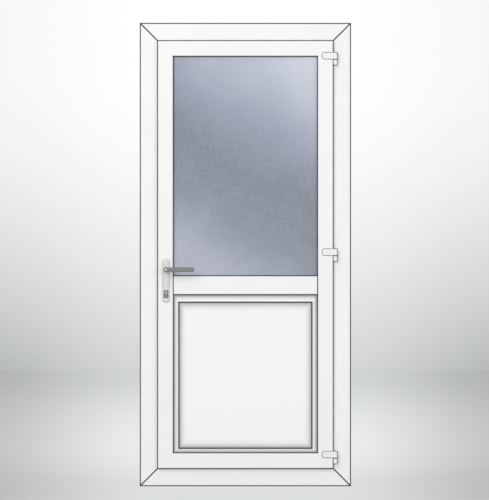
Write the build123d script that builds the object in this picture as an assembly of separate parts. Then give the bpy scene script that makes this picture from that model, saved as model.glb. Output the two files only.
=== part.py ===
from build123d import *
import os

# A glazed PVC door hung in its own frame. Seen from the side that it opens towards, X runs to the
# right, Y to the back and Z up. The origin is on the frame's underside, at the middle of its depth.

# The whole door, over the frame
DOOR_WIDTH = 980.0
DOOR_HEIGHT = 2150.0
FRAME_DEPTH = 70.0

# Hollow plastic profiles
WALL = 3.0
WEB = 2.0
EDGE_RADIUS = 2.5
FRAME_REVEAL = 85.0
SASH_OVERLAP = 7.0
REBATE_GAP = 8.0
STOP_COVER = 5.5
STOP_DEPTH = 18.0
SASH_DEPTH = 70.0
SASH_FACE = 68.0
LEG_HEIGHT = 15.0
LEG_DEPTH = 20.0
TRANSOM_FACE = 83.0
TRANSOM_HEIGHT = 933.0
TRANSOM_END_GAP = 4.5
TRANSOM_FIT = 0.2

# Chambers and steel reinforcement
FRAME_CHAMBER = 42.0
FRAME_CHAMBER_INSET = 22.0
SASH_CHAMBER_DEPTH = 46.0
STEEL_WALL = 1.5
STEEL_CLEARANCE = 0.3
STEEL_END_GAP = 12.0

# Weld grooves on the frame's mitres and drain slots in its bottom member
WELD_GROOVE_WIDTH = 4.0
WELD_GROOVE_DEPTH = 1.5
DRAIN_LENGTH = 32.0
DRAIN_HEIGHT = 5.0
DRAIN_PLACE_SHARES = (-0.28, 0.28)

# Seals and gaskets
GASKET_GAP = 4.0
GROOVE_WIDTH = 3.0
GROOVE_DEPTH = 3.0
GROOVE_FIT = 0.2
LIP_SHOW = 4.5
LIP_RADIUS = 1.5
PAD_REACH = 9.0
TOUCH_GAP = 0.3
SEAL_WIDTH = 5.0
SEAL_DEPTH = 12.0
SEAL_RECESS = 1.5

# Glass unit, infill panel, beads and setting blocks
UNIT_DEPTH = 24.0
PANE_THICKNESS = 4.0
SPACER_WIDTH = 8.0
SEALANT_WIDTH = 5.0
BLOCK_THICKNESS = 4.0
BLOCK_LENGTH = 80.0
BLOCK_SETBACK = 120.0
BLOCK_MARGIN = 1.0
BEAD_LIP_DEPTH = 3.0
BEAD_LIP_HEIGHT = 4.0
BEAD_BEVEL = 5.0
BEAD_FOOT_SETBACK = 6.0
MOULD_MARGIN = 1.0
MOULD_SIDE_BAND = 28.3
MOULD_BOTTOM_BAND = 23.6
MOULD_TOP_BAND = 37.1
MOULD_RISE = 10.0
MOULD_CREST = 1.0
MOULD_CHAMFER = 0.8
FIELD_GROOVE = 4.0
FIELD_GROOVE_DEPTH = 3.0
FIELD_BEVEL = 35.0
FIELD_RISE = 3.0

# Hinges
HINGE_BOTTOM_SETBACK = 148.0
HINGE_TOP_SETBACK = 153.0
HINGE_MIDDLE_RAISE = 14.0
HINGE_OFFSET = 12.0
HINGE_FLAG_REACH = 48.0
HINGE_FLAG_THICKNESS = 4.5
HINGE_TALL = 28.0
HINGE_RADIUS = 9.0
HINGE_CROWN = 1.5
HINGE_END_WALL = 3.5
PIN_RADIUS = 4.0
PIN_CLEARANCE = 0.05
PIN_END_GAP = 1.5
PIN_CHAMFER = 1.0
BUSH_WALL = 1.4
BUSH_FLANGE = 1.0
KNUCKLE_WEB = 11.0
KNUCKLE_GAP = 0.3
KNUCKLE_DOME = 6.5
KNUCKLE_BOLT_RADIUS = 3.0
KNUCKLE_BOLT_IN_WEB = 9.0
KNUCKLE_BOLT_REACH = 30.0
KNUCKLE_BOLT_SHARES = (0.28, 0.72)
FLAG_SCREW_SHARES = (0.34, 0.72)

# Screws and running fits
SCREW_RADIUS = 2.0
SCREW_HEAD_RADIUS = 3.8
SCREW_HEAD_DEPTH = 2.0
SCREW_LENGTH = 22.0
HOLE_CLEARANCE = 0.1
SLIDE_CLEARANCE = 0.3

# Mortise lock
LOCK_THICKNESS = 16.0
CASE_WALL = 1.1
CASE_CLEARANCE = 0.5
CASE_MARGIN = 12.0
CASE_FOOT_MARGIN = 4.0
FACEPLATE_THICKNESS = 3.0
FACEPLATE_OVERHANG = 30.0
FACEPLATE_FIT = 0.2
FACEPLATE_SCREW_INSET = 12.0
SPINDLE_HEIGHT = 1005.0
CYLINDER_DROP = 105.0
LATCH_RISE = 58.0
LATCH_TALL = 20.0
LATCH_THROW = 15.0
LATCH_NOSE = 3.0
BOLT_RISE = 28.0
BOLT_TALL = 30.0
BOLT_THICKNESS = 12.0
BOLT_EDGE_RADIUS = 1.5
STRIKE_THICKNESS = 2.5
STRIKE_WIDTH = 26.0
STRIKE_CORNER = 6.5
STRIKE_OVERHANG = 24.0
STRIKE_CLEARANCE = 1.5
STRIKE_SCREW_INSET = 11.0

# Profile cylinder
CYLINDER_RADIUS = 8.5
CYLINDER_TALL = 33.0
CYLINDER_NECK = 10.0
CYLINDER_PROUD = 2.5
PLUG_RADIUS = 6.5
PLUG_CLEARANCE = 0.1
CAM_RADIUS = 11.0
CAM_RING_RADIUS = 8.3
CAM_WIDTH = 10.0
CAM_TAB = 7.0
KEYWAY_WIDTH = 2.4
KEYWAY_TALL = 8.5
KEYWAY_DEPTH = 24.0
GUARD_WIDTH = 21.0
GUARD_TALL = 37.0
GUARD_CORNER = 4.0
GUARD_THICKNESS = 1.5
GUARD_ROUNDING = 0.6

# Lever handles on long backplates
BACKPLATE_WIDTH = 28.0
BACKPLATE_TALL = 196.0
BACKPLATE_DROP = 52.0
BACKPLATE_THICKNESS = 8.0
BACKPLATE_CORNER = 12.5
BACKPLATE_ROUNDING = 2.5
LEVER_LENGTH = 132.0
LEVER_TALL = 21.0
LEVER_DEPTH = 13.0
LEVER_NOSE = 9.0
LEVER_STANDOFF = 46.0
LEVER_ROUNDING = 4.0
NECK_RADIUS = 9.5
NECK_CLEARANCE = 0.3
NECK_SEAT = 1.0
CAP_RADIUS = 5.0
CAP_DEPTH = 1.5
CAP_RECESS = 0.5
CAP_FIT = 0.1
SPINDLE_SIZE = 8.0
SPINDLE_FIT = 0.1
SPINDLE_IN_LEVER = 30.0
SPINDLE_HOLE_RADIUS = 8.0
FOLLOWER_RADIUS = 10.0
FOLLOWER_WIDTH = 12.0
HANDLE_BOLT_RADIUS = 2.5
HANDLE_BOLT_RISE = 32.0
HANDLE_BOLT_DROP = 36.0
HANDLE_BOLT_IN_PLATE = 5.0

# Fixing holes through the jambs
FIXING_RADIUS = 4.0
FIXING_END_DISTANCE = 150.0
FIXING_COUNT = 4

# Every cut runs past the far side by this much
OVERRUN = 2.0

# Depth planes, from the front of the sash to the back of the frame
FRAME_FRONT = -FRAME_DEPTH / 2
FRAME_BACK = FRAME_DEPTH / 2
STOP_FRONT = FRAME_BACK - STOP_DEPTH
SASH_BACK = STOP_FRONT - GASKET_GAP
SASH_FRONT = SASH_BACK - SASH_DEPTH
FLANGE_BACK = FRAME_FRONT - GASKET_GAP
LEG_BACK = SASH_FRONT + LEG_DEPTH
UNIT_FRONT = LEG_BACK + GASKET_GAP
UNIT_BACK = UNIT_FRONT + UNIT_DEPTH
LOCK_Y = (SASH_FRONT + SASH_BACK) / 2
SASH_CHAMBER_FRONT = FLANGE_BACK - GROOVE_DEPTH - WALL + WEB
SASH_CHAMBER_BACK = SASH_CHAMBER_FRONT + SASH_CHAMBER_DEPTH
BEAD_FOOT_BACK = SASH_BACK - BEAD_FOOT_SETBACK
BEAD_FOOT_FRONT = BEAD_FOOT_BACK - GROOVE_WIDTH

# Distances inward from the frame's outer edge, and inward from the sash's outer edge
REBATE_WALL = FRAME_REVEAL + SASH_OVERLAP
BODY_EDGE = SASH_OVERLAP + REBATE_GAP
STOP_EDGE = FRAME_REVEAL + BODY_EDGE + STOP_COVER
PLATFORM = SASH_FACE - LEG_HEIGHT
TRACK_FLOOR = BODY_EDGE + FACEPLATE_THICKNESS
SASH_CHAMBER_FROM = TRACK_FLOOR + WALL
SASH_CHAMBER_TO = PLATFORM - WALL
FRAME_CHAMBER_END = FRAME_CHAMBER_INSET + FRAME_CHAMBER

# The rectangles that the profiles run round: left, bottom, right, top
SIGHT_LINE = FRAME_REVEAL + SASH_FACE
HALF_WIDTH = DOOR_WIDTH / 2
TRANSOM_TOP = TRANSOM_HEIGHT + TRANSOM_FACE / 2
TRANSOM_BOTTOM = TRANSOM_HEIGHT - TRANSOM_FACE / 2
FRAME_WINDOW = (-HALF_WIDTH, 0, HALF_WIDTH, DOOR_HEIGHT)
SASH_WINDOW = (
    FRAME_REVEAL - HALF_WIDTH, FRAME_REVEAL, HALF_WIDTH - FRAME_REVEAL, DOOR_HEIGHT - FRAME_REVEAL)
GLASS_WINDOW = (
    SIGHT_LINE - HALF_WIDTH, TRANSOM_TOP, HALF_WIDTH - SIGHT_LINE, DOOR_HEIGHT - SIGHT_LINE)
PANEL_WINDOW = (
    SIGHT_LINE - HALF_WIDTH, SIGHT_LINE, HALF_WIDTH - SIGHT_LINE, TRANSOM_BOTTOM)

# Places of the hardware
HINGE_TOP_HEIGHT = DOOR_HEIGHT - HINGE_TOP_SETBACK
HINGE_HEIGHTS = {
    "bottom": HINGE_BOTTOM_SETBACK,
    "middle": (HINGE_BOTTOM_SETBACK + HINGE_TOP_HEIGHT) / 2 + HINGE_MIDDLE_RAISE,
    "top": HINGE_TOP_HEIGHT,
}
HINGE_X = HALF_WIDTH - FRAME_REVEAL + HINGE_OFFSET
HINGE_Y = SASH_FRONT - HINGE_FLAG_THICKNESS + HINGE_RADIUS
SASH_LEFT = SASH_WINDOW[0]
CASE_END = SASH_CHAMBER_TO - CASE_CLEARANCE
SPINDLE_INSET = CASE_END - CASE_WALL - SLIDE_CLEARANCE - CAM_RADIUS
SPINDLE_X = SASH_LEFT + SPINDLE_INSET
CYLINDER_HEIGHT = SPINDLE_HEIGHT - CYLINDER_DROP
LATCH_HEIGHT = SPINDLE_HEIGHT + LATCH_RISE
BOLT_HEIGHT = CYLINDER_HEIGHT + BOLT_RISE
CASE_BOTTOM = CYLINDER_HEIGHT + CYLINDER_RADIUS - CYLINDER_TALL - CASE_FOOT_MARGIN
CASE_TOP = LATCH_HEIGHT + LATCH_TALL / 2 + CASE_MARGIN
HANDLE_BOLT_HEIGHTS = (SPINDLE_HEIGHT + HANDLE_BOLT_RISE, CYLINDER_HEIGHT - HANDLE_BOLT_DROP)
FIXING_STEP = (DOOR_HEIGHT - 2 * FIXING_END_DISTANCE) / (FIXING_COUNT - 1)
FIXING_HEIGHTS = [FIXING_END_DISTANCE + FIXING_STEP * i for i in range(FIXING_COUNT)]


# Small helpers

def span(u_from, y_from, u_to, y_to):
    centre = Pos((u_from + u_to) / 2, (y_from + y_to) / 2)
    return centre * Rectangle(u_to - u_from, y_to - y_from)


def outline(*points):
    return make_face(Polyline(*points, close=True))


def block(x_from, y_from, z_from, x_to, y_to, z_to):
    centre = Pos((x_from + x_to) / 2, (y_from + y_to) / 2, (z_from + z_to) / 2)
    return centre * Box(x_to - x_from, y_to - y_from, z_to - z_from)


def rounded_corners(face, corners, radius):
    picked = [face.vertices().sort_by_distance(Vector(u, y))[0] for u, y in corners]
    return fillet(picked, radius)


def grown(window, by):
    left, bottom, right, top = window
    return (left - by, bottom - by, right + by, top + by)


def slab(window, y_from, y_to):
    left, bottom, right, top = window
    return block(left, y_from, bottom, right, y_to, top)


def band(outer, inner, y_from, y_to):
    left, bottom, right, top = inner
    return slab(outer, y_from, y_to) - block(
        left, y_from - OVERRUN, bottom, right, y_to + OVERRUN, top)


def along_y(sketch, x, z, y_from, y_to):
    """A prism along Y, from a sketch whose axes are X and Z."""
    return Pos(x, y_from, z) * extrude(Plane.XZ * sketch, amount=y_to - y_from, dir=(0, 1, 0))


def rod_x(x_from, x_to, y, z, radius):
    return Pos((x_from + x_to) / 2, y, z) * Rot(0, 90, 0) * Cylinder(radius, x_to - x_from)


def rod_y(x, y_from, y_to, z, radius):
    return Pos(x, (y_from + y_to) / 2, z) * Rot(90, 0, 0) * Cylinder(radius, y_to - y_from)


def rod_z(x, y, z_from, z_to, radius):
    return Pos(x, y, (z_from + z_to) / 2) * Cylinder(radius, z_to - z_from)


# Profiles that run round a rectangle with mitred corners. A section's first axis is the distance
# inward from the rectangle and its second is Y.

def mitred(section, length):
    box = section.bounding_box()
    near = box.min.X
    far = box.max.X
    bar = Pos(0, 0, near) * extrude(section, amount=length - 2 * near, dir=(0, 0, 1))
    keep = outline((near, near), (far, far), (far, length - far), (near, length - near))
    depth = box.max.Y - box.min.Y + 2 * OVERRUN
    wedge = Pos(0, box.min.Y - OVERRUN, 0) * extrude(Plane.XZ * keep, amount=depth, dir=(0, 1, 0))
    return bar & wedge


def side_planes(window):
    left, bottom, right, top = window
    return {
        "left": (Plane((left, 0, bottom), x_dir=(1, 0, 0), z_dir=(0, 0, 1)), top - bottom),
        "right": (Plane((right, 0, top), x_dir=(-1, 0, 0), z_dir=(0, 0, -1)), top - bottom),
        "bottom": (Plane((right, 0, bottom), x_dir=(0, 0, 1), z_dir=(-1, 0, 0)), right - left),
        "top": (Plane((left, 0, top), x_dir=(0, 0, -1), z_dir=(1, 0, 0)), right - left),
    }


def mitred_sides(section, window):
    sides = side_planes(window)
    return {side: plane.location * mitred(section, length) for side, (plane, length) in sides.items()}


def mitred_loop(section, window):
    left, right, bottom, top = mitred_sides(section, window).values()
    return left + bottom + right + top


def square_bars(section, window, setback):
    """Straight bars, cut square, that stop short of the corners by the same setback."""
    bars = []
    for plane, length in side_planes(window).values():
        bar = extrude(section, amount=length - 2 * setback, dir=(0, 0, 1))
        bars.append(plane.location * Pos(0, 0, setback) * bar)
    return dict(zip(side_planes(window), bars))


# Sections of the plastic profiles, their steel and their gaskets

def frame_section():
    seal_back = FRAME_FRONT + SEAL_RECESS + SEAL_DEPTH
    profile = outline(
        (SEAL_WIDTH, FRAME_FRONT), (REBATE_WALL, FRAME_FRONT), (REBATE_WALL, STOP_FRONT),
        (STOP_EDGE, STOP_FRONT), (STOP_EDGE, FRAME_BACK), (0, FRAME_BACK),
        (0, seal_back), (SEAL_WIDTH, seal_back))
    corners = [(REBATE_WALL, FRAME_FRONT), (STOP_EDGE, FRAME_BACK), (STOP_EDGE, STOP_FRONT)]
    profile = rounded_corners(profile, corners, EDGE_RADIUS)
    groove_from = STOP_EDGE - STOP_COVER / 2 - GROOVE_WIDTH
    groove = span(groove_from, STOP_FRONT, groove_from + GROOVE_WIDTH, STOP_FRONT + GROOVE_DEPTH)
    front = FRAME_FRONT + WALL
    back = FRAME_BACK - WALL
    half = FRAME_CHAMBER / 2
    inner_from = FRAME_CHAMBER_END + WEB
    outer_to = FRAME_CHAMBER_INSET - WEB
    rebate_inner = REBATE_WALL - WALL
    bolt_back = LOCK_Y + LOCK_THICKNESS / 2 + WALL
    chambers = [
        span(SEAL_WIDTH + WALL, front, outer_to, seal_back + WALL - WEB),
        span(WALL, seal_back + WALL, outer_to, back),
        span(FRAME_CHAMBER_INSET, front, FRAME_CHAMBER_END, -half - WEB),
        span(FRAME_CHAMBER_INSET, -half, FRAME_CHAMBER_END, half),
        span(FRAME_CHAMBER_INSET, half + WEB, FRAME_CHAMBER_END, back),
        span(inner_from, front, rebate_inner, bolt_back),
        span(inner_from, bolt_back + WEB, rebate_inner, STOP_FRONT - WALL),
        span(inner_from, STOP_FRONT - WALL + WEB, rebate_inner, back),
        span(rebate_inner + WEB, STOP_FRONT + GROOVE_DEPTH + WEB, STOP_EDGE - WALL, back),
    ]
    return profile - groove - chambers


def frame_steel_section():
    near = FRAME_CHAMBER_INSET + STEEL_CLEARANCE
    far = FRAME_CHAMBER_END - STEEL_CLEARANCE
    half = FRAME_CHAMBER / 2 - STEEL_CLEARANCE
    hollow = span(near + STEEL_WALL, STEEL_WALL - half, far - STEEL_WALL, half - STEEL_WALL)
    return span(near, -half, far, half) - hollow


def sash_section():
    profile = outline(
        (0, SASH_FRONT), (SASH_FACE, SASH_FRONT), (SASH_FACE, LEG_BACK), (PLATFORM, LEG_BACK),
        (PLATFORM, SASH_BACK), (BODY_EDGE, SASH_BACK), (BODY_EDGE, FLANGE_BACK), (0, FLANGE_BACK))
    corners = [(0, SASH_FRONT), (SASH_FACE, SASH_FRONT), (BODY_EDGE, SASH_BACK)]
    profile = rounded_corners(profile, corners, EDGE_RADIUS)
    flange_groove = (SASH_OVERLAP - GROOVE_WIDTH) / 2 + EDGE_RADIUS
    leg_groove = SASH_FACE - LEG_HEIGHT / 2
    half_track = LOCK_THICKNESS / 2
    grooves = [
        span(flange_groove, FLANGE_BACK - GROOVE_DEPTH, flange_groove + GROOVE_WIDTH, FLANGE_BACK),
        span(leg_groove, LEG_BACK - GROOVE_DEPTH, leg_groove + GROOVE_WIDTH, LEG_BACK),
        span(BODY_EDGE, LOCK_Y - half_track, TRACK_FLOOR, LOCK_Y + half_track),
        span(PLATFORM - GROOVE_DEPTH, BEAD_FOOT_FRONT, PLATFORM, BEAD_FOOT_BACK),
    ]
    front = SASH_FRONT + WALL
    front_to = SASH_CHAMBER_FRONT - WEB
    back = SASH_BACK - WALL
    back_from = SASH_CHAMBER_BACK + WEB
    back_to = PLATFORM - GROOVE_DEPTH - WEB
    back_mid = (BODY_EDGE + back_to) / 2
    chambers = [
        span(WALL, front, SASH_CHAMBER_FROM - WEB, front_to),
        span(SASH_CHAMBER_FROM, front, SASH_CHAMBER_TO, front_to),
        span(SASH_CHAMBER_TO + WEB, front, SASH_FACE - WALL, front_to),
        span(SASH_CHAMBER_FROM, SASH_CHAMBER_FRONT, SASH_CHAMBER_TO, SASH_CHAMBER_BACK),
        span(BODY_EDGE + WALL, back_from, back_mid - WEB / 2, back),
        span(back_mid + WEB / 2, back_from, back_to, back),
    ]
    return profile - grooves - chambers


def sash_steel_section():
    """A channel, open towards the sash's edge so that the lock case goes into it."""
    near = SASH_CHAMBER_FROM + STEEL_CLEARANCE
    far = SASH_CHAMBER_TO - STEEL_CLEARANCE
    front = SASH_CHAMBER_FRONT + STEEL_CLEARANCE
    back = SASH_CHAMBER_BACK - STEEL_CLEARANCE
    hollow = span(near - OVERRUN, front + STEEL_WALL, far - STEEL_WALL, back - STEEL_WALL)
    return span(near, front, far, back) - hollow


def transom_section():
    """The transom's section, with its first axis along Z from the transom's middle."""
    half = TRANSOM_FACE / 2
    body = half - LEG_HEIGHT
    profile = outline(
        (-half, SASH_FRONT), (half, SASH_FRONT), (half, LEG_BACK), (body, LEG_BACK),
        (body, SASH_BACK), (-body, SASH_BACK), (-body, LEG_BACK), (-half, LEG_BACK))
    profile = rounded_corners(profile, [(-half, SASH_FRONT), (half, SASH_FRONT)], EDGE_RADIUS)
    front = SASH_FRONT + WALL
    front_to = SASH_CHAMBER_FRONT - WEB
    back = SASH_BACK - WALL
    back_from = SASH_CHAMBER_BACK + WEB
    chamber = body - WALL
    back_to = body - GROOVE_DEPTH - WEB
    cuts = [
        span(-chamber, front, chamber, front_to),
        span(-chamber, SASH_CHAMBER_FRONT, chamber, SASH_CHAMBER_BACK),
        span(-back_to, back_from, -WEB / 2, back),
        span(WEB / 2, back_from, back_to, back),
    ]
    groove = half - LEG_HEIGHT / 2
    for side in (-1, 1):
        leg = sorted((side * groove, side * (groove + GROOVE_WIDTH)))
        foot = sorted((side * body, side * (body - GROOVE_DEPTH)))
        tip = sorted((side * (chamber + WEB), side * (half - WALL)))
        cuts.append(span(leg[0], LEG_BACK - GROOVE_DEPTH, leg[1], LEG_BACK))
        cuts.append(span(foot[0], BEAD_FOOT_FRONT, foot[1], BEAD_FOOT_BACK))
        cuts.append(span(tip[0], front, tip[1], front_to))
    return profile - cuts


def transom_steel_section():
    half = TRANSOM_FACE / 2 - LEG_HEIGHT - WALL - STEEL_CLEARANCE
    front = SASH_CHAMBER_FRONT + STEEL_CLEARANCE
    back = SASH_CHAMBER_BACK - STEEL_CLEARANCE
    hollow = span(STEEL_WALL - half, front + STEEL_WALL, half - STEEL_WALL, back - STEEL_WALL)
    return span(-half, front, half, back) - hollow


def gasket_section(stem_from, seat, pad_from, pad_to, touch):
    """A stem pushed into its groove, and a pad that reaches from its seat to what it touches."""
    inward = 1 if touch > seat else -1
    stem_end = seat - inward * (GROOVE_DEPTH - GROOVE_FIT)
    stem_rows = sorted((stem_end, seat))
    pad_rows = sorted((seat, touch))
    stem = span(stem_from + GROOVE_FIT, stem_rows[0], stem_from + GROOVE_WIDTH - GROOVE_FIT, stem_rows[1])
    return stem + span(pad_from, pad_rows[0], pad_to, pad_rows[1])


def sash_gasket_section():
    stem = (SASH_OVERLAP - GROOVE_WIDTH) / 2 + EDGE_RADIUS
    touch = FRAME_FRONT - TOUCH_GAP
    section = gasket_section(stem, FLANGE_BACK, -LIP_SHOW, PAD_REACH, touch)
    return rounded_corners(section, [(-LIP_SHOW, FLANGE_BACK)], LIP_RADIUS)


def frame_gasket_section():
    stem = STOP_EDGE - STOP_COVER / 2 - GROOVE_WIDTH
    touch = SASH_BACK + TOUCH_GAP
    return gasket_section(stem, STOP_FRONT, STOP_EDGE - PAD_REACH, STOP_EDGE, touch)


def glazing_gasket_section():
    section = gasket_section(-LEG_HEIGHT / 2, LEG_BACK, -PAD_REACH, LIP_SHOW, UNIT_FRONT)
    return rounded_corners(section, [(LIP_SHOW, LEG_BACK)], LIP_RADIUS)


def bead_section():
    """A bead that clips into the platform behind the glass, with a soft lip against it."""
    heel = UNIT_BACK + BEAD_LIP_DEPTH
    profile = outline(
        (0, heel), (LEG_HEIGHT - BEAD_LIP_HEIGHT, heel), (LEG_HEIGHT - BEAD_LIP_HEIGHT, UNIT_BACK),
        (LEG_HEIGHT, UNIT_BACK), (LEG_HEIGHT, SASH_BACK - BEAD_BEVEL),
        (LEG_HEIGHT - BEAD_BEVEL, SASH_BACK), (0, SASH_BACK))
    foot = span(GROOVE_FIT - GROOVE_DEPTH, BEAD_FOOT_FRONT + GROOVE_FIT, 0, BEAD_FOOT_BACK - GROOVE_FIT)
    hollow = span(WEB, heel + WEB, LEG_HEIGHT - BEAD_BEVEL - WEB, SASH_BACK - WEB)
    return profile + foot - hollow


def profile_cylinder(grow):
    """The keyhole outline of a profile cylinder, with its plug's axis at the origin."""
    drop = CYLINDER_TALL - CYLINDER_RADIUS - CYLINDER_NECK / 2
    neck = Pos(0, -drop / 2) * Rectangle(CYLINDER_NECK + 2 * grow, drop)
    return Circle(CYLINDER_RADIUS + grow) + neck + Pos(0, -drop) * Circle(CYLINDER_NECK / 2 + grow)


# Cuts that several pieces share

def fixing_holes(side):
    near, far = sorted((side * (HALF_WIDTH + OVERRUN), side * (HALF_WIDTH - STOP_EDGE)))
    return [rod_x(near, far, 0, z, FIXING_RADIUS) for z in FIXING_HEIGHTS]


def handle_cuts(y_from, y_to, spare):
    """Holes for the spindle, the cylinder and the handle bolts, from one depth to another."""
    cuts = [rod_y(SPINDLE_X, y_from, y_to, SPINDLE_HEIGHT, SPINDLE_HOLE_RADIUS + spare)]
    cuts.append(along_y(profile_cylinder(SLIDE_CLEARANCE + spare), SPINDLE_X, CYLINDER_HEIGHT, y_from, y_to))
    for z in HANDLE_BOLT_HEIGHTS:
        cuts.append(rod_y(SPINDLE_X, y_from, y_to, z, HANDLE_BOLT_RADIUS + SLIDE_CLEARANCE + spare))
    return cuts


def bolt_ways(x_from, x_to, spare):
    """The passages of the latch and the deadbolt, from one place across the door to another."""
    half = BOLT_THICKNESS / 2 + spare
    ways = []
    for height, tall in ((LATCH_HEIGHT, LATCH_TALL), (BOLT_HEIGHT, BOLT_TALL)):
        rise = tall / 2 + spare
        ways.append(block(x_from, LOCK_Y - half, height - rise, x_to, LOCK_Y + half, height + rise))
    return ways


def screw_x(head_x, y, z, direction):
    """A countersunk screw along X, with its head's face at head_x."""
    tip = head_x + direction * SCREW_LENGTH
    near, far = sorted((head_x, tip))
    head = Cone(SCREW_HEAD_RADIUS, SCREW_RADIUS, SCREW_HEAD_DEPTH)
    centre = head_x + direction * SCREW_HEAD_DEPTH / 2
    return rod_x(near, far, y, z, SCREW_RADIUS) + Pos(centre, y, z) * Rot(0, 90 * direction, 0) * head


def screw_y(x, head_y, z):
    """A countersunk screw along Y, driven from the front."""
    head = Cone(SCREW_HEAD_RADIUS, SCREW_RADIUS, SCREW_HEAD_DEPTH)
    seat = Pos(x, head_y + SCREW_HEAD_DEPTH / 2, z) * Rot(-90, 0, 0) * head
    return rod_y(x, head_y, head_y + SCREW_LENGTH, z, SCREW_RADIUS) + seat


def strike_rows():
    bottom = BOLT_HEIGHT - BOLT_TALL / 2 - STRIKE_OVERHANG
    top = LATCH_HEIGHT + LATCH_TALL / 2 + STRIKE_OVERHANG
    return bottom, top


def strike_screw_heights():
    bottom, top = strike_rows()
    return (bottom + STRIKE_SCREW_INSET, (bottom + top) / 2, top - STRIKE_SCREW_INSET)


def faceplate_rows():
    return CASE_BOTTOM - FACEPLATE_OVERHANG, CASE_TOP + FACEPLATE_OVERHANG


def faceplate_screw_heights():
    bottom, top = faceplate_rows()
    return (bottom + FACEPLATE_SCREW_INSET, top - FACEPLATE_SCREW_INSET)


def knuckle_bolt_heights(height):
    top = height - HINGE_TALL / 2
    return [top - HINGE_TALL * share for share in KNUCKLE_BOLT_SHARES]


def flag_screw_places():
    return [HINGE_X - HINGE_OFFSET - HINGE_FLAG_REACH * share for share in FLAG_SCREW_SHARES]


# The frame

def weld_grooves():
    """V grooves that clean the mitre welds, on the frame's front and back faces."""
    half = WELD_GROOVE_WIDTH / 2
    grooves = []
    for x_side in (-1, 1):
        for corner_z, z_side in ((0, 1), (DOOR_HEIGHT, -1)):
            for face, out in ((FRAME_FRONT, -1), (FRAME_BACK, 1)):
                run = Vector(-x_side, 0, z_side)
                across = Vector(z_side, 0, x_side)
                corner = Plane((x_side * HALF_WIDTH, face, corner_z), x_dir=across, z_dir=run)
                turn = 1 if corner.y_dir.Y * out > 0 else -1
                vee = outline((-half, 0), (half, 0), (half, turn * OVERRUN), (-half, turn * OVERRUN))
                vee += outline((-half, 0), (half, 0), (0, -turn * WELD_GROOVE_DEPTH))
                length = STOP_EDGE * Vector(1, 1).length
                grooves.append(corner.location * extrude(vee, amount=length, dir=(0, 0, 1)))
    return grooves


def frame_pieces():
    names = {
        "left": "frame_lock_jamb", "right": "frame_hinge_jamb", "bottom": "frame_bottom", "top": "frame_head"}
    bars = mitred_sides(frame_section(), FRAME_WINDOW)
    grooves = weld_grooves()
    pieces = {names[side]: bar - grooves for side, bar in bars.items()}

    drains = []
    drain_z = FRAME_CHAMBER_INSET + FRAME_CHAMBER / 2
    drain_from = FRAME_BACK - WALL - OVERRUN
    for share in DRAIN_PLACE_SHARES:
        slot = SlotOverall(DRAIN_LENGTH, DRAIN_HEIGHT)
        drains.append(along_y(slot, DOOR_WIDTH * share, drain_z, drain_from, FRAME_BACK + OVERRUN))
    pieces["frame_bottom"] -= drains

    wall = REBATE_WALL - HALF_WIDTH
    pockets = bolt_ways(wall - WALL - OVERRUN, wall + OVERRUN, STRIKE_CLEARANCE)
    screw_holes = [
        rod_x(wall - WALL - OVERRUN, wall + OVERRUN, LOCK_Y, z, SCREW_RADIUS + HOLE_CLEARANCE)
        for z in strike_screw_heights()]
    pieces["frame_lock_jamb"] -= fixing_holes(-1) + pockets + screw_holes

    bolt_holes = [
        rod_y(HINGE_X, FRAME_FRONT - OVERRUN, FRAME_FRONT + KNUCKLE_BOLT_REACH, z,
              KNUCKLE_BOLT_RADIUS + HOLE_CLEARANCE)
        for height in HINGE_HEIGHTS.values() for z in knuckle_bolt_heights(height)]
    pieces["frame_hinge_jamb"] -= fixing_holes(1) + bolt_holes

    steel = square_bars(frame_steel_section(), FRAME_WINDOW, FRAME_CHAMBER_END + STEEL_END_GAP)
    steel["left"] -= fixing_holes(-1)
    steel["right"] -= fixing_holes(1)
    pieces["frame_reinforcement"] = Compound(children=[Part(bar.wrapped) for bar in steel.values()])

    seal_front = FRAME_FRONT + SEAL_RECESS
    pieces["frame_edge_seal"] = band(
        FRAME_WINDOW, grown(FRAME_WINDOW, -SEAL_WIDTH), seal_front, seal_front + SEAL_DEPTH)
    pieces["frame_gasket"] = mitred_loop(frame_gasket_section(), FRAME_WINDOW)
    return pieces


def strike_pieces():
    wall = REBATE_WALL - HALF_WIDTH
    face = wall + STRIKE_THICKNESS
    bottom, top = strike_rows()
    half = STRIKE_WIDTH / 2
    plate = block(wall, LOCK_Y - half, bottom, face, LOCK_Y + half, top)
    plate = fillet(plate.edges().filter_by(Axis.X), STRIKE_CORNER)
    screws = [screw_x(face, LOCK_Y, z, -1) for z in strike_screw_heights()]
    plate -= bolt_ways(wall - OVERRUN, face + OVERRUN, STRIKE_CLEARANCE)
    plate -= screws
    return {"strike_plate": plate, "strike_screws": Compound(children=screws)}


# The sash, its transom and what it holds

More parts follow.
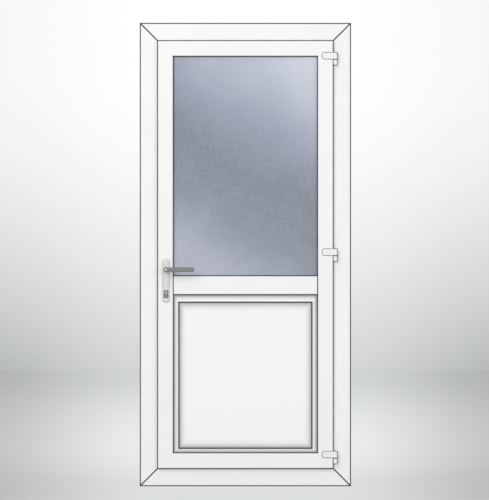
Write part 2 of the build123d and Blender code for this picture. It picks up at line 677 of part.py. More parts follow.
def sash_pieces():
    names = {
        "left": "sash_lock_stile", "right": "sash_hinge_stile",
        "bottom": "sash_bottom_rail", "top": "sash_top_rail"}
    bars = mitred_sides(sash_section(), SASH_WINDOW)
    pieces = {names[side]: bar for side, bar in bars.items()}

    edge = SASH_LEFT + TRACK_FLOOR
    half = LOCK_THICKNESS / 2
    mortise = block(
        edge - OVERRUN, LOCK_Y - half, CASE_BOTTOM - SLIDE_CLEARANCE,
        SASH_LEFT + SASH_CHAMBER_FROM + OVERRUN, LOCK_Y + half, CASE_TOP + SLIDE_CLEARANCE)
    screw_holes = [
        rod_x(edge - OVERRUN, edge + SCREW_LENGTH, LOCK_Y, z, SCREW_RADIUS + HOLE_CLEARANCE)
        for z in faceplate_screw_heights()]
    through = handle_cuts(SASH_FRONT - OVERRUN, SASH_BACK + OVERRUN, SLIDE_CLEARANCE)
    pieces["sash_lock_stile"] -= [mortise] + screw_holes + through

    flag_holes = [
        rod_y(x, SASH_FRONT - OVERRUN, SASH_FRONT + SCREW_LENGTH, height, SCREW_RADIUS + HOLE_CLEARANCE)
        for height in HINGE_HEIGHTS.values() for x in flag_screw_places()]
    pieces["sash_hinge_stile"] -= flag_holes

    steel = square_bars(sash_steel_section(), SASH_WINDOW, SASH_CHAMBER_TO + STEEL_END_GAP)
    window = block(
        SASH_LEFT + SASH_CHAMBER_TO - STEEL_WALL - OVERRUN, LOCK_Y - half - SLIDE_CLEARANCE,
        CASE_BOTTOM - OVERRUN, SASH_LEFT + PLATFORM, LOCK_Y + half + SLIDE_CLEARANCE, CASE_TOP + OVERRUN)
    steel["left"] -= [window] + handle_cuts(SASH_FRONT, SASH_BACK, CASE_CLEARANCE)
    steel["right"] -= flag_holes
    pieces["sash_reinforcement"] = Compound(children=[Part(bar.wrapped) for bar in steel.values()])
    pieces["sash_gasket"] = mitred_loop(sash_gasket_section(), SASH_WINDOW)
    return pieces


def transom_pieces():
    sight_left = GLASS_WINDOW[0]
    body_half = -sight_left + LEG_HEIGHT - TRANSOM_FIT
    lay = Plane((-body_half, 0, TRANSOM_HEIGHT), x_dir=(0, 0, -1), z_dir=(1, 0, 0))
    bar = lay.location * extrude(transom_section(), amount=2 * body_half, dir=(0, 0, 1))
    steel_half = -sight_left - TRANSOM_END_GAP - STEEL_END_GAP
    steel_lay = Plane((-steel_half, 0, TRANSOM_HEIGHT), x_dir=(0, 0, -1), z_dir=(1, 0, 0))
    steel = steel_lay.location * extrude(transom_steel_section(), amount=2 * steel_half, dir=(0, 0, 1))
    pads = []
    for side in (-1, 1):
        leg = side * -sight_left
        flange_end = leg - side * TRANSOM_END_GAP
        near, far = sorted((flange_end, side * (body_half + OVERRUN)))
        bar -= block(
            near, SASH_FRONT - OVERRUN, TRANSOM_BOTTOM - OVERRUN, far, LEG_BACK, TRANSOM_TOP + OVERRUN)
        near, far = sorted((flange_end, leg))
        pads.append(block(near, SASH_FRONT + SEAL_RECESS, TRANSOM_BOTTOM, far, LEG_BACK, TRANSOM_TOP))
    return {
        "transom": bar,
        "transom_reinforcement": steel,
        "transom_end_seals": Compound(children=pads),
    }


def transom_end_trims():
    """Where the gaskets' stems stop, short of the transom's ends."""
    sight = GLASS_WINDOW[2]
    trims = []
    for side in (-1, 1):
        stem_end = side * (sight - TRANSOM_END_GAP - GROOVE_FIT)
        near, far = sorted((stem_end, side * (sight + LEG_HEIGHT)))
        front = LEG_BACK - GROOVE_DEPTH - OVERRUN
        trims.append(block(near, front, TRANSOM_BOTTOM, far, LEG_BACK, TRANSOM_TOP))
    return trims


def glazing_gasket(window):
    return mitred_loop(glazing_gasket_section(), window) - transom_end_trims()


def bead_pieces(name, window):
    sides = mitred_sides(bead_section(), grown(window, LEG_HEIGHT))
    return {f"{name}_bead_{side}": bar for side, bar in sides.items()}


def setting_blocks(window):
    """Blocks that carry and centre a pane or panel between its platforms, two on each side."""
    left, bottom, right, top = grown(window, LEG_HEIGHT)
    front = UNIT_FRONT + BLOCK_MARGIN
    back = UNIT_BACK - BLOCK_MARGIN
    blocks = []
    for start in (left + BLOCK_SETBACK, right - BLOCK_SETBACK - BLOCK_LENGTH):
        blocks.append(block(start, front, bottom, start + BLOCK_LENGTH, back, bottom + BLOCK_THICKNESS))
        blocks.append(block(start, front, top - BLOCK_THICKNESS, start + BLOCK_LENGTH, back, top))
    for start in (bottom + BLOCK_SETBACK, top - BLOCK_SETBACK - BLOCK_LENGTH):
        blocks.append(block(left, front, start, left + BLOCK_THICKNESS, back, start + BLOCK_LENGTH))
        blocks.append(block(right - BLOCK_THICKNESS, front, start, right, back, start + BLOCK_LENGTH))
    return blocks


def glass_pieces():
    pane = grown(GLASS_WINDOW, LEG_HEIGHT - BLOCK_THICKNESS)
    gap_front = UNIT_FRONT + PANE_THICKNESS
    gap_back = UNIT_BACK - PANE_THICKNESS
    spacer_outer = grown(pane, -SEALANT_WIDTH)
    pieces = {
        "glass_front_pane": slab(pane, UNIT_FRONT, gap_front),
        "glass_back_pane": slab(pane, gap_back, UNIT_BACK),
        "glass_edge_sealant": band(pane, spacer_outer, gap_front, gap_back),
        "glass_spacer": band(spacer_outer, grown(spacer_outer, -SPACER_WIDTH), gap_front, gap_back),
        "glass_gasket": glazing_gasket(GLASS_WINDOW),
    }
    pieces.update(bead_pieces("glass", GLASS_WINDOW))
    return pieces


def flat_rectangle(window, y):
    left, bottom, right, top = window
    place = Plane(((left + right) / 2, y, (bottom + top) / 2), x_dir=(1, 0, 0), z_dir=(0, -1, 0))
    return place * Rectangle(right - left, top - bottom)


def panel_pieces():
    """A bonded panel with a splayed moulding round a raised field, pressed in its front skin."""
    left, bottom, right, top = PANEL_WINDOW
    base = slab(grown(PANEL_WINDOW, LEG_HEIGHT - BLOCK_THICKNESS), UNIT_FRONT, UNIT_BACK)
    foot = grown(PANEL_WINDOW, -LIP_SHOW - MOULD_MARGIN)
    groove_outer = (
        left + MOULD_SIDE_BAND - FIELD_GROOVE / 2, bottom + MOULD_BOTTOM_BAND - FIELD_GROOVE / 2,
        right - MOULD_SIDE_BAND + FIELD_GROOVE / 2, top - MOULD_TOP_BAND + FIELD_GROOVE / 2)
    crest = grown(groove_outer, MOULD_CREST)
    crest_y = UNIT_FRONT - MOULD_RISE
    crest_face = flat_rectangle(crest, crest_y).face()
    shoulder_face = flat_rectangle(grown(crest, MOULD_CHAMFER), crest_y + MOULD_CHAMFER).face()
    moulding = loft([flat_rectangle(foot, UNIT_FRONT).face(), shoulder_face])
    moulding += loft([shoulder_face, crest_face])
    groove_floor = UNIT_FRONT + FIELD_GROOVE_DEPTH
    pocket = slab(groove_outer, crest_y - OVERRUN, groove_floor)
    groove_inner = grown(groove_outer, -FIELD_GROOVE)
    field_edge = grown(groove_inner, -FIELD_BEVEL)
    field_foot = flat_rectangle(groove_inner, UNIT_FRONT).face()
    field = loft([field_foot, flat_rectangle(field_edge, UNIT_FRONT - FIELD_RISE).face()])
    field += slab(groove_inner, UNIT_FRONT, groove_floor + OVERRUN)
    pieces = {
        "infill_panel": base + moulding - pocket + field,
        "panel_gasket": glazing_gasket(PANEL_WINDOW),
    }
    pieces.update(bead_pieces("panel", PANEL_WINDOW))
    return pieces


# Hinges

def hinge_flag(height):
    """The leaf's half: a flag on the sash's face that curls into the upper barrel."""
    half = HINGE_TALL / 2
    front = SASH_FRONT - HINGE_FLAG_THICKNESS
    end = HINGE_X - HINGE_OFFSET - HINGE_FLAG_REACH
    plate = block(end, front, height - half, HINGE_X, SASH_FRONT, height + half)
    round_end = plate.edges().filter_by(Axis.Y).group_by(Axis.X)[0]
    plate = fillet(round_end, HINGE_RADIUS)
    curl = block(
        HINGE_X - HINGE_OFFSET + TOUCH_GAP, front, height - half, HINGE_X, HINGE_Y, height + half)
    barrel = rod_z(HINGE_X, HINGE_Y, height - half, height + half, HINGE_RADIUS)
    barrel = fillet(barrel.edges().group_by(Axis.Z)[-1], HINGE_CROWN)
    bore_top = height + half - HINGE_END_WALL
    bore = rod_z(
        HINGE_X, HINGE_Y, height - half - OVERRUN, bore_top, PIN_RADIUS + PIN_CLEARANCE + BUSH_WALL)
    screws = [screw_y(x, front, height) for x in flag_screw_places()]
    return plate + curl + barrel - bore - screws


def hinge_bush(height):
    """A flanged sleeve in the upper barrel that carries the leaf on the knuckle below."""
    bottom = height - HINGE_TALL / 2
    top = height + HINGE_TALL / 2 - HINGE_END_WALL
    outer = PIN_RADIUS + PIN_CLEARANCE + BUSH_WALL
    sleeve = rod_z(HINGE_X, HINGE_Y, bottom - BUSH_FLANGE, top, outer - HOLE_CLEARANCE / 2)
    flange = rod_z(HINGE_X, HINGE_Y, bottom - BUSH_FLANGE, bottom, HINGE_RADIUS - BUSH_FLANGE)
    bore = rod_z(HINGE_X, HINGE_Y, bottom - BUSH_FLANGE - OVERRUN, top + OVERRUN, PIN_RADIUS + PIN_CLEARANCE)
    return sleeve + flange - bore


def hinge_knuckle(height):
    """The frame's half: a lower barrel with a domed foot, on a web that is bolted to the frame's face."""
    top = height - HINGE_TALL / 2 - BUSH_FLANGE - KNUCKLE_GAP
    bottom = top - HINGE_TALL
    half_web = KNUCKLE_WEB / 2
    web = block(HINGE_X - half_web, HINGE_Y, bottom + HINGE_CROWN, HINGE_X + half_web, FRAME_FRONT, top)
    barrel = rod_z(HINGE_X, HINGE_Y, bottom, top, HINGE_RADIUS)
    barrel = fillet(barrel.edges().group_by(Axis.Z)[0], KNUCKLE_DOME)
    bore = rod_z(HINGE_X, HINGE_Y, bottom + HINGE_END_WALL, top + OVERRUN, PIN_RADIUS + PIN_CLEARANCE)
    sockets = [
        rod_y(HINGE_X, FRAME_FRONT - KNUCKLE_BOLT_IN_WEB, FRAME_FRONT + OVERRUN, z,
              KNUCKLE_BOLT_RADIUS + HOLE_CLEARANCE)
        for z in knuckle_bolt_heights(height)]
    return web + barrel - bore - sockets


def hinge_pin(height):
    top = height + HINGE_TALL / 2 - HINGE_END_WALL - PIN_END_GAP
    knuckle_top = height - HINGE_TALL / 2 - BUSH_FLANGE - KNUCKLE_GAP
    pin = rod_z(HINGE_X, HINGE_Y, knuckle_top - HINGE_TALL + HINGE_END_WALL, top, PIN_RADIUS)
    return chamfer(pin.edges().group_by(Axis.Z)[-1], PIN_CHAMFER)


def hinge_pieces():
    pieces = {}
    pins = []
    bushes = []
    screws = []
    bolts = []
    for place, height in HINGE_HEIGHTS.items():
        pieces[f"hinge_flag_{place}"] = hinge_flag(height)
        pieces[f"hinge_knuckle_{place}"] = hinge_knuckle(height)
        pins.append(hinge_pin(height))
        bushes.append(hinge_bush(height))
        screws += [screw_y(x, SASH_FRONT - HINGE_FLAG_THICKNESS, height) for x in flag_screw_places()]
        for z in knuckle_bolt_heights(height):
            socket = FRAME_FRONT - KNUCKLE_BOLT_IN_WEB
            bolts.append(rod_y(HINGE_X, socket, FRAME_FRONT + KNUCKLE_BOLT_REACH, z, KNUCKLE_BOLT_RADIUS))
    pieces["hinge_pins"] = Compound(children=pins)
    pieces["hinge_bushes"] = Compound(children=bushes)
    pieces["hinge_flag_screws"] = Compound(children=screws)
    pieces["hinge_knuckle_bolts"] = Compound(children=bolts)
    return pieces


# The lock and its cylinder

def lock_pieces():
    half = LOCK_THICKNESS / 2
    edge = SASH_LEFT + TRACK_FLOOR
    end = SASH_LEFT + CASE_END
    case = block(edge, LOCK_Y - half, CASE_BOTTOM, end, LOCK_Y + half, CASE_TOP)
    case -= bolt_ways(edge - OVERRUN, end - CASE_WALL, SLIDE_CLEARANCE)
    follower_half = FOLLOWER_WIDTH / 2 + SLIDE_CLEARANCE
    case -= rod_y(
        SPINDLE_X, LOCK_Y - follower_half, LOCK_Y + follower_half, SPINDLE_HEIGHT,
        FOLLOWER_RADIUS + SLIDE_CLEARANCE)
    cam_half = CAM_WIDTH / 2 + SLIDE_CLEARANCE
    case -= rod_y(
        SPINDLE_X, LOCK_Y - cam_half, LOCK_Y + cam_half, CYLINDER_HEIGHT, CAM_RADIUS + SLIDE_CLEARANCE)
    case -= handle_cuts(LOCK_Y - half - OVERRUN, LOCK_Y + half + OVERRUN, 0)

    bottom, top = faceplate_rows()
    face = SASH_LEFT + BODY_EDGE
    plate_half = half - FACEPLATE_FIT
    plate = block(face, LOCK_Y - plate_half, bottom, edge, LOCK_Y + plate_half, top)
    screws = [screw_x(face, LOCK_Y, z, 1) for z in faceplate_screw_heights()]
    plate -= bolt_ways(face - OVERRUN, edge + OVERRUN, SLIDE_CLEARANCE)
    plate -= screws
    return {
        "lock_case": case,
        "lock_faceplate": plate,
        "faceplate_screws": Compound(children=screws),
        "lock_follower": lock_follower(),
        "latch_bolt": latch_bolt(),
        "deadbolt": deadbolt(),
    }


def lock_follower():
    half = FOLLOWER_WIDTH / 2
    hub = rod_y(SPINDLE_X, LOCK_Y - half, LOCK_Y + half, SPINDLE_HEIGHT, FOLLOWER_RADIUS)
    socket = Rectangle(SPINDLE_SIZE + 2 * SPINDLE_FIT, SPINDLE_SIZE + 2 * SPINDLE_FIT)
    return hub - along_y(socket, SPINDLE_X, SPINDLE_HEIGHT, LOCK_Y - half - OVERRUN, LOCK_Y + half + OVERRUN)


def latch_bolt():
    """The spring latch, thrown, with its slope on the side that meets the strike on closing."""
    half = BOLT_THICKNESS / 2
    face = SASH_LEFT + BODY_EDGE
    tip = face - LATCH_THROW
    tail = SASH_LEFT + CASE_END - CASE_WALL - SLIDE_CLEARANCE - LATCH_THROW
    plan = outline(
        (tip, LOCK_Y - half), (tip, LOCK_Y - half + LATCH_NOSE), (face, LOCK_Y + half),
        (tail, LOCK_Y + half), (tail, LOCK_Y - half))
    plan = rounded_corners(plan, [(tip, LOCK_Y - half)], BOLT_EDGE_RADIUS)
    return Pos(0, 0, LATCH_HEIGHT - LATCH_TALL / 2) * extrude(plan, amount=LATCH_TALL, dir=(0, 0, 1))


def deadbolt():
    """The deadbolt, withdrawn, with its end flush with the faceplate."""
    half = BOLT_THICKNESS / 2
    rise = BOLT_TALL / 2
    face = SASH_LEFT + BODY_EDGE
    tail = SASH_LEFT + CASE_END - CASE_WALL - SLIDE_CLEARANCE
    bolt = block(face, LOCK_Y - half, BOLT_HEIGHT - rise, tail, LOCK_Y + half, BOLT_HEIGHT + rise)
    return fillet(bolt.faces().sort_by(Axis.X)[0].edges(), BOLT_EDGE_RADIUS)


def cylinder_pieces():
    front = SASH_FRONT - BACKPLATE_THICKNESS - CYLINDER_PROUD
    back = SASH_BACK + BACKPLATE_THICKNESS + CYLINDER_PROUD
    cam_half = CAM_WIDTH / 2
    body = along_y(profile_cylinder(0), SPINDLE_X, CYLINDER_HEIGHT, front, back)
    body -= rod_y(SPINDLE_X, front - OVERRUN, back + OVERRUN, CYLINDER_HEIGHT, PLUG_RADIUS + PLUG_CLEARANCE)
    body -= rod_y(
        SPINDLE_X, LOCK_Y - cam_half - SLIDE_CLEARANCE, LOCK_Y + cam_half + SLIDE_CLEARANCE,
        CYLINDER_HEIGHT, CAM_RADIUS + SLIDE_CLEARANCE)
    plug = rod_y(SPINDLE_X, front, back, CYLINDER_HEIGHT, PLUG_RADIUS)
    tab_centre = -CAM_RADIUS / 2
    lobe = (Pos(0, tab_centre) * Rectangle(CAM_TAB, CAM_RADIUS)) & Circle(CAM_RADIUS)
    cam = Circle(CAM_RING_RADIUS) + lobe
    plug += along_y(cam, SPINDLE_X, CYLINDER_HEIGHT, LOCK_Y - cam_half, LOCK_Y + cam_half)
    keyway = Rectangle(KEYWAY_WIDTH, KEYWAY_TALL)
    plug -= along_y(keyway, SPINDLE_X, CYLINDER_HEIGHT, front - OVERRUN, front + KEYWAY_DEPTH)
    plug -= along_y(keyway, SPINDLE_X, CYLINDER_HEIGHT, back - KEYWAY_DEPTH, back + OVERRUN)
    return {"cylinder_body": body, "cylinder_plug": plug}


# The handles. The rear ones mirror the front ones about the middle of the sash.

def to_rear(shape):
    return mirror(shape, about=Plane((0, LOCK_Y, 0), x_dir=(1, 0, 0), z_dir=(0, 1, 0)))


def front_backplate():
    front = SASH_FRONT - BACKPLATE_THICKNESS
    centre = SPINDLE_HEIGHT - BACKPLATE_DROP
    shape = RectangleRounded(BACKPLATE_WIDTH, BACKPLATE_TALL, BACKPLATE_CORNER)
    plate = along_y(shape, SPINDLE_X, centre, front, SASH_FRONT)
    plate = fillet(plate.faces().sort_by(Axis.Y)[0].edges(), BACKPLATE_ROUNDING)
    neck_way = NECK_RADIUS + NECK_CLEARANCE
    plate -= rod_y(SPINDLE_X, front - OVERRUN, SASH_FRONT + OVERRUN, SPINDLE_HEIGHT, neck_way)
    plate -= along_y(
        profile_cylinder(SLIDE_CLEARANCE), SPINDLE_X, CYLINDER_HEIGHT, front - OVERRUN, SASH_FRONT + OVERRUN)
    for z in HANDLE_BOLT_HEIGHTS:
        socket = SASH_FRONT - HANDLE_BOLT_IN_PLATE
        plate -= rod_y(SPINDLE_X, socket, SASH_FRONT + OVERRUN, z, HANDLE_BOLT_RADIUS + HOLE_CLEARANCE)
    return plate


def front_guard():
    """A plate round the cylinder's end, on the backplate."""
    back = SASH_FRONT - BACKPLATE_THICKNESS
    front = back - GUARD_THICKNESS
    centre = CYLINDER_HEIGHT + CYLINDER_RADIUS - CYLINDER_TALL / 2
    guard = along_y(RectangleRounded(GUARD_WIDTH, GUARD_TALL, GUARD_CORNER), SPINDLE_X, centre, front, back)
    guard = fillet(guard.faces().sort_by(Axis.Y)[0].edges(), GUARD_ROUNDING)
    hole = profile_cylinder(SLIDE_CLEARANCE)
    return guard - along_y(hole, SPINDLE_X, CYLINDER_HEIGHT, front - OVERRUN, back + OVERRUN)


def front_lever():
    """A straight lever with a bullet nose, turned on a round neck."""
    half = LEVER_TALL / 2
    shoulder = LEVER_LENGTH - LEVER_NOSE
    neck_back = SASH_FRONT - NECK_SEAT
    back = SASH_FRONT - LEVER_STANDOFF
    front = back - LEVER_DEPTH
    edges = Curve() + [
        Line((0, half), (shoulder, half)),
        ThreePointArc((shoulder, half), (LEVER_LENGTH, 0), (shoulder, -half)),
        Line((shoulder, -half), (0, -half)),
        ThreePointArc((0, -half), (-half, 0), (0, half)),
    ]
    grip = along_y(make_face(edges), SPINDLE_X, SPINDLE_HEIGHT, front, back)
    rims = grip.faces().sort_by(Axis.Y)
    grip = fillet(rims[0].edges() + rims[-1].edges(), LEVER_ROUNDING)
    neck = rod_y(SPINDLE_X, back - LEVER_DEPTH / 2, neck_back, SPINDLE_HEIGHT, NECK_RADIUS)
    socket_side = SPINDLE_SIZE + 2 * SPINDLE_FIT
    socket = along_y(
        Rectangle(socket_side, socket_side), SPINDLE_X, SPINDLE_HEIGHT,
        neck_back - SPINDLE_IN_LEVER, neck_back + OVERRUN)
    recess_floor = front + CAP_DEPTH + CAP_RECESS
    recess = rod_y(SPINDLE_X, front - OVERRUN, recess_floor, SPINDLE_HEIGHT, CAP_RADIUS + CAP_FIT)
    return grip + neck - socket - recess


def front_cap():
    front = SASH_FRONT - LEVER_STANDOFF - LEVER_DEPTH + CAP_RECESS
    cap = rod_y(SPINDLE_X, front, front + CAP_DEPTH, SPINDLE_HEIGHT, CAP_RADIUS)
    return fillet(cap.edges().group_by(Axis.Y)[0], CAP_RECESS)


def handle_pieces():
    bolts = []
    for z in HANDLE_BOLT_HEIGHTS:
        reach = HANDLE_BOLT_IN_PLATE - HOLE_CLEARANCE
        bolts.append(rod_y(SPINDLE_X, SASH_FRONT - reach, SASH_BACK + reach, z, HANDLE_BOLT_RADIUS))
    spindle_in = SPINDLE_IN_LEVER + NECK_SEAT - SPINDLE_FIT
    spindle_from = SASH_FRONT - spindle_in
    square = Rectangle(SPINDLE_SIZE, SPINDLE_SIZE)
    return {
        "front_backplate": front_backplate(),
        "rear_backplate": to_rear(front_backplate()),
        "cylinder_guards": Compound(children=[front_guard(), to_rear(front_guard())]),
        "handle_bolts": Compound(children=bolts),
        "front_lever": front_lever(),
        "rear_lever": to_rear(front_lever()),
        "lever_caps": Compound(children=[front_cap(), to_rear(front_cap())]),
        "spindle": along_y(square, SPINDLE_X, SPINDLE_HEIGHT, spindle_from, SASH_BACK + spindle_in),
    }


# The whole door

def door_pieces():
    pieces = {}
    for group in (frame_pieces, strike_pieces, sash_pieces, transom_pieces, glass_pieces, panel_pieces,
                  hinge_pieces, lock_pieces, cylinder_pieces, handle_pieces):
        pieces.update(group())
    pieces["setting_blocks"] = Compound(children=setting_blocks(GLASS_WINDOW) + setting_blocks(PANEL_WINDOW))
    return pieces


os.makedirs("parts", exist_ok=True)
for node, shape in door_pieces().items():
    export_step(shape, f"parts/{node}.step")
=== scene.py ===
import math

import bmesh
import bpy
from mathutils import Matrix, Vector


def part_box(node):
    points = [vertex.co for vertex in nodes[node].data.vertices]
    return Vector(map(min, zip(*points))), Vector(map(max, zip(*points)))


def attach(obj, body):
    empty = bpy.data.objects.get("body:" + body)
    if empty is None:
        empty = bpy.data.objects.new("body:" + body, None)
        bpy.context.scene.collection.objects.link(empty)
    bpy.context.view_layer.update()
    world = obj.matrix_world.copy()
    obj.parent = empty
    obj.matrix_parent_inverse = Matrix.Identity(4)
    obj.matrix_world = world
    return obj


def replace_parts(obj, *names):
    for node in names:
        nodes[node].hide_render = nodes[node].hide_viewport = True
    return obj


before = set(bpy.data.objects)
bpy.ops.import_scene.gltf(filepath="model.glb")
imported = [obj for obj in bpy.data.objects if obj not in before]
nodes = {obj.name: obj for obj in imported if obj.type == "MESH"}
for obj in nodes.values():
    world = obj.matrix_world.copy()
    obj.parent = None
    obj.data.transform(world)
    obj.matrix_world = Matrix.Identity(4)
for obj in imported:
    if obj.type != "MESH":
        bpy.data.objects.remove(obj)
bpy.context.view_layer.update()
print("door loaded:", len(nodes), "pieces from the workshop")


# shader bench: sockets that do maths, and one way to add a node
class Tap:
    def __init__(self, bench, socket):
        self.bench = bench
        self.socket = socket

    def work(self, operation, first, second):
        return self.bench.node("ShaderNodeMath", {"operation": operation}, {0: first, 1: second})

    def __add__(self, other):
        return self.work("ADD", self, other)

    __radd__ = __add__

    def __sub__(self, other):
        return self.work("SUBTRACT", self, other)

    def __rsub__(self, other):
        return self.work("SUBTRACT", other, self)

    def __mul__(self, other):
        return self.work("MULTIPLY", self, other)

    __rmul__ = __mul__

    def __truediv__(self, other):
        return self.work("DIVIDE", self, other)

    def __pow__(self, other):
        return self.work("POWER", self, other)

    def __abs__(self):
        return self.work("ABSOLUTE", self, 0.0)

    def least(self, other):
        return self.work("MINIMUM", self, other)

    def most(self, other):
        return self.work("MAXIMUM", self, other)


class Bench:
    def __init__(self, tree):
        self.tree = tree
        tree.nodes.clear()

    def node(self, kind, settings=None, sockets=None, out=0):
        made = self.tree.nodes.new(kind)
        for key, value in (settings or {}).items():
            if key == "stops":
                ramp = made.color_ramp.elements
                while len(ramp) < len(value):
                    ramp.new(0.5)
                for stop, (place, colour) in zip(ramp, value):
                    stop.position = place
                    stop.color = (*colour, 1.0)
            else:
                setattr(made, key, value)
        for key, value in (sockets or {}).items():
            if isinstance(value, Tap):
                self.tree.links.new(value.socket, made.inputs[key])
            elif isinstance(value, tuple) and len(value) == 3 and made.inputs[key].type == "RGBA":
                made.inputs[key].default_value = (*value, 1.0)
            else:
                made.inputs[key].default_value = value
        return Tap(self, made.outputs[out]) if made.outputs else None

    def place(self):
        return self.node("ShaderNodeTexCoord", out="Object")

    def axes(self):
        split = self.node("ShaderNodeSeparateXYZ", None, {0: self.place()}, "X").socket.node
        return [Tap(self, split.outputs[i]) for i in range(3)]

    def noise(self, scale, detail, stretch=None):
        where = self.place()
        if stretch:
            where = self.node("ShaderNodeMapping", None, {"Vector": where, "Scale": stretch})
        return self.node("ShaderNodeTexNoise", None, {"Vector": where, "Scale": scale, "Detail": detail})

    def rise(self, value, low, high):
        return self.node("ShaderNodeMapRange", {"interpolation_type": "SMOOTHSTEP"},
                         {"Value": value, "From Min": low, "From Max": high})

    def blend(self, first, second, share):
        return self.node("ShaderNodeMix", {"data_type": "RGBA"}, {0: share, 6: first, 7: second}, 2)

    def bump(self, height, strength, distance):
        return self.node("ShaderNodeBump", None,
                         {"Strength": strength, "Distance": distance, "Height": height})

    def seen(self):
        rays = self.node("ShaderNodeLightPath").socket.node
        seen = Tap(self, rays.outputs["Is Camera Ray"])
        for name in ("Is Glossy Ray", "Is Transmission Ray"):
            seen = seen.most(Tap(self, rays.outputs[name]))
        return seen

    def surface(self, sockets):
        shader = self.node("ShaderNodeBsdfPrincipled", None, sockets)
        self.node("ShaderNodeOutputMaterial", None, {"Surface": shader})


def finish(name):
    material = bpy.data.materials.new(name)
    material.use_nodes = True
    return material, Bench(material.node_tree)


# white profile: extruded streaks along the bar, a faint cast, and painted shade lines along the weld grooves
# on the frame's mitres
pvc = {
    "white": (0.89, 0.89, 0.887), "shade": (0.865, 0.867, 0.868), "weldShade": (0.03, 0.03, 0.032),
    "upright": (700.0, 700.0, 5.0), "level": (5.0, 700.0, 700.0), "streakDetail": 3.0,
    "grainScale": 1400.0, "grainDetail": 2.0, "castScale": 2.6, "castDetail": 3.0,
    "castFrom": 0.35, "castTo": 0.7, "castShare": 0.7, "streakShare": 0.3,
    "rough": 0.3, "grainRough": 0.06, "streakRough": 0.05,
    "streakHeight": 0.7, "grainHeight": 0.3, "bump": 0.06, "bumpDeep": 0.0004,
    "halfWidth": 0.49, "height": 2.15, "weldHalf": 0.0034, "weldCore": 0.85, "weldShadeShare": 0.97,
}


def pvcFinish(name, stretch, shadeWelds, d=pvc):
    material, bench = finish(name)
    streak = bench.noise(1.0, d["streakDetail"], stretch)
    grain = bench.noise(d["grainScale"], d["grainDetail"])
    cast = bench.rise(bench.noise(d["castScale"], d["castDetail"]), d["castFrom"], d["castTo"])
    colour = bench.blend(d["white"], d["shade"], cast * d["castShare"] + streak * d["streakShare"])
    if shadeWelds:
        x, _, z = bench.axes()
        fromSide = d["halfWidth"] - abs(x)
        fromEnd = z.least(d["height"] - z)
        offMitre = abs(fromSide - fromEnd) * math.sqrt(0.5)
        # painted shade: a dark line over each mitre's weld groove, standing in for the groove's shadow
        weldShade = 1.0 - bench.rise(offMitre, d["weldHalf"] * d["weldCore"], d["weldHalf"])
        colour = bench.blend(colour, d["weldShade"], weldShade * d["weldShadeShare"])
    height = streak * d["streakHeight"] + grain * d["grainHeight"]
    bench.surface({
        "Base Color": colour,
        "Roughness": d["rough"] + d["grainRough"] * grain + d["streakRough"] * streak,
        "Normal": bench.bump(height, d["bump"], d["bumpDeep"]),
    })
    return material


# moulded panel: painted shade on the splay, round the field and along the groove line between them
panel = {
    # edge, inner and the groove's dark colour are painted shade tones
    "white": (0.905, 0.905, 0.903), "edge": (0.6, 0.605, 0.615), "inner": (0.16, 0.163, 0.17),
    "grooveShade": (0.04, 0.04, 0.043), "side": 0.337, "bottom": 0.153, "top": 0.8915,
    "sideBand": 0.0283, "bottomBand": 0.0236, "topBand": 0.0371,
    "splayFrom": 0.12, "splayTo": 0.92, "shadeFrom": -0.02, "shadeTo": 0.038, "shadeDrift": 0.008,
    "shadeCurve": 1.6, "headShare": 0.72, "lineHalf": 0.0034, "lineCore": 0.75, "step": 0.0004,
    "skin": -0.0285, "skinDeep": 0.0005, "grainScale": 900.0, "softScale": 9.0, "detail": 3.0,
    "rough": 0.36, "grainRough": 0.1, "bump": 0.08, "bumpDeep": 0.0003,
}


def panelFinish(d=panel):
    material, bench = finish("panelSkin")
    x, y, z = bench.axes()
    side = d["side"] - abs(x)
    foot = z - d["bottom"]
    head = d["top"] - z
    across = (side / d["sideBand"]).least(foot / d["bottomBand"]).least(head / d["topBand"])
    lower = (side - d["sideBand"]).least(foot - d["bottomBand"])
    upper = head - d["topBand"]
    inside = lower.least(upper)
    grain = bench.noise(d["grainScale"], d["detail"])
    soft = bench.noise(d["softScale"], d["detail"])
    # painted shade: the splay darkens towards its outer edge
    splay = bench.blend(d["edge"], d["white"], bench.rise(across, d["splayFrom"], d["splayTo"]))
    # painted shade round the field, fading inwards from the groove and reaching further down from the top
    within = lower.least(upper * d["headShare"])
    reach = d["shadeTo"] + d["shadeDrift"] * soft
    shade = (1.0 - bench.rise(within, d["shadeFrom"], reach)) ** d["shadeCurve"]
    field = bench.blend(d["white"], d["inner"], shade)
    colour = bench.blend(splay, field, bench.rise(inside, -d["step"], d["step"]))
    # painted shade: a dark line along the groove between the splay and the field
    grooveShade = 1.0 - bench.rise(abs(inside), d["lineHalf"] * d["lineCore"], d["lineHalf"])
    colour = bench.blend(colour, d["grooveShade"], grooveShade)
    front = 1.0 - bench.rise(y, d["skin"], d["skin"] + d["skinDeep"])
    colour = bench.blend(d["white"], colour, front)
    bench.surface({
        "Base Color": colour,
        "Roughness": d["rough"] + d["grainRough"] * grain,
        "Normal": bench.bump(grain, d["bump"], d["bumpDeep"]),
    })
    return material


# satin glass: cool grey with a painted sheen that turns along a diagonal, lighter at the lower left and
# brightest at the top right, with fine crossed strokes
satin = {
    "left": -0.337, "bottom": 0.9745, "wide": 0.674, "tall": 1.0225,
    "toneAndSheen": [(0.0, (0.68, 0.71, 0.81)), (0.3, (0.33, 0.365, 0.44)), (0.48, (0.275, 0.312, 0.38)),
              (0.66, (0.405, 0.44, 0.545)), (1.0, (0.86, 0.89, 0.99))],
    "cloudScale": 3.2, "acrossShare": 0.28, "upShare": 0.72, "cloudShare": 0.2,
    "uprightStroke": (190.0, 1.0, 13.0), "levelStroke": (13.0, 1.0, 190.0), "detail": 4.0,
    "stroke": (0.7, 0.73, 0.79), "strokeFrom": 0.4, "strokeTo": 0.62, "strokeShare": 0.2,
    "rough": 0.3, "strokeRough": 0.12, "through": 0.35, "bend": 1.5, "bump": 0.05, "bumpDeep": 0.0004,
}


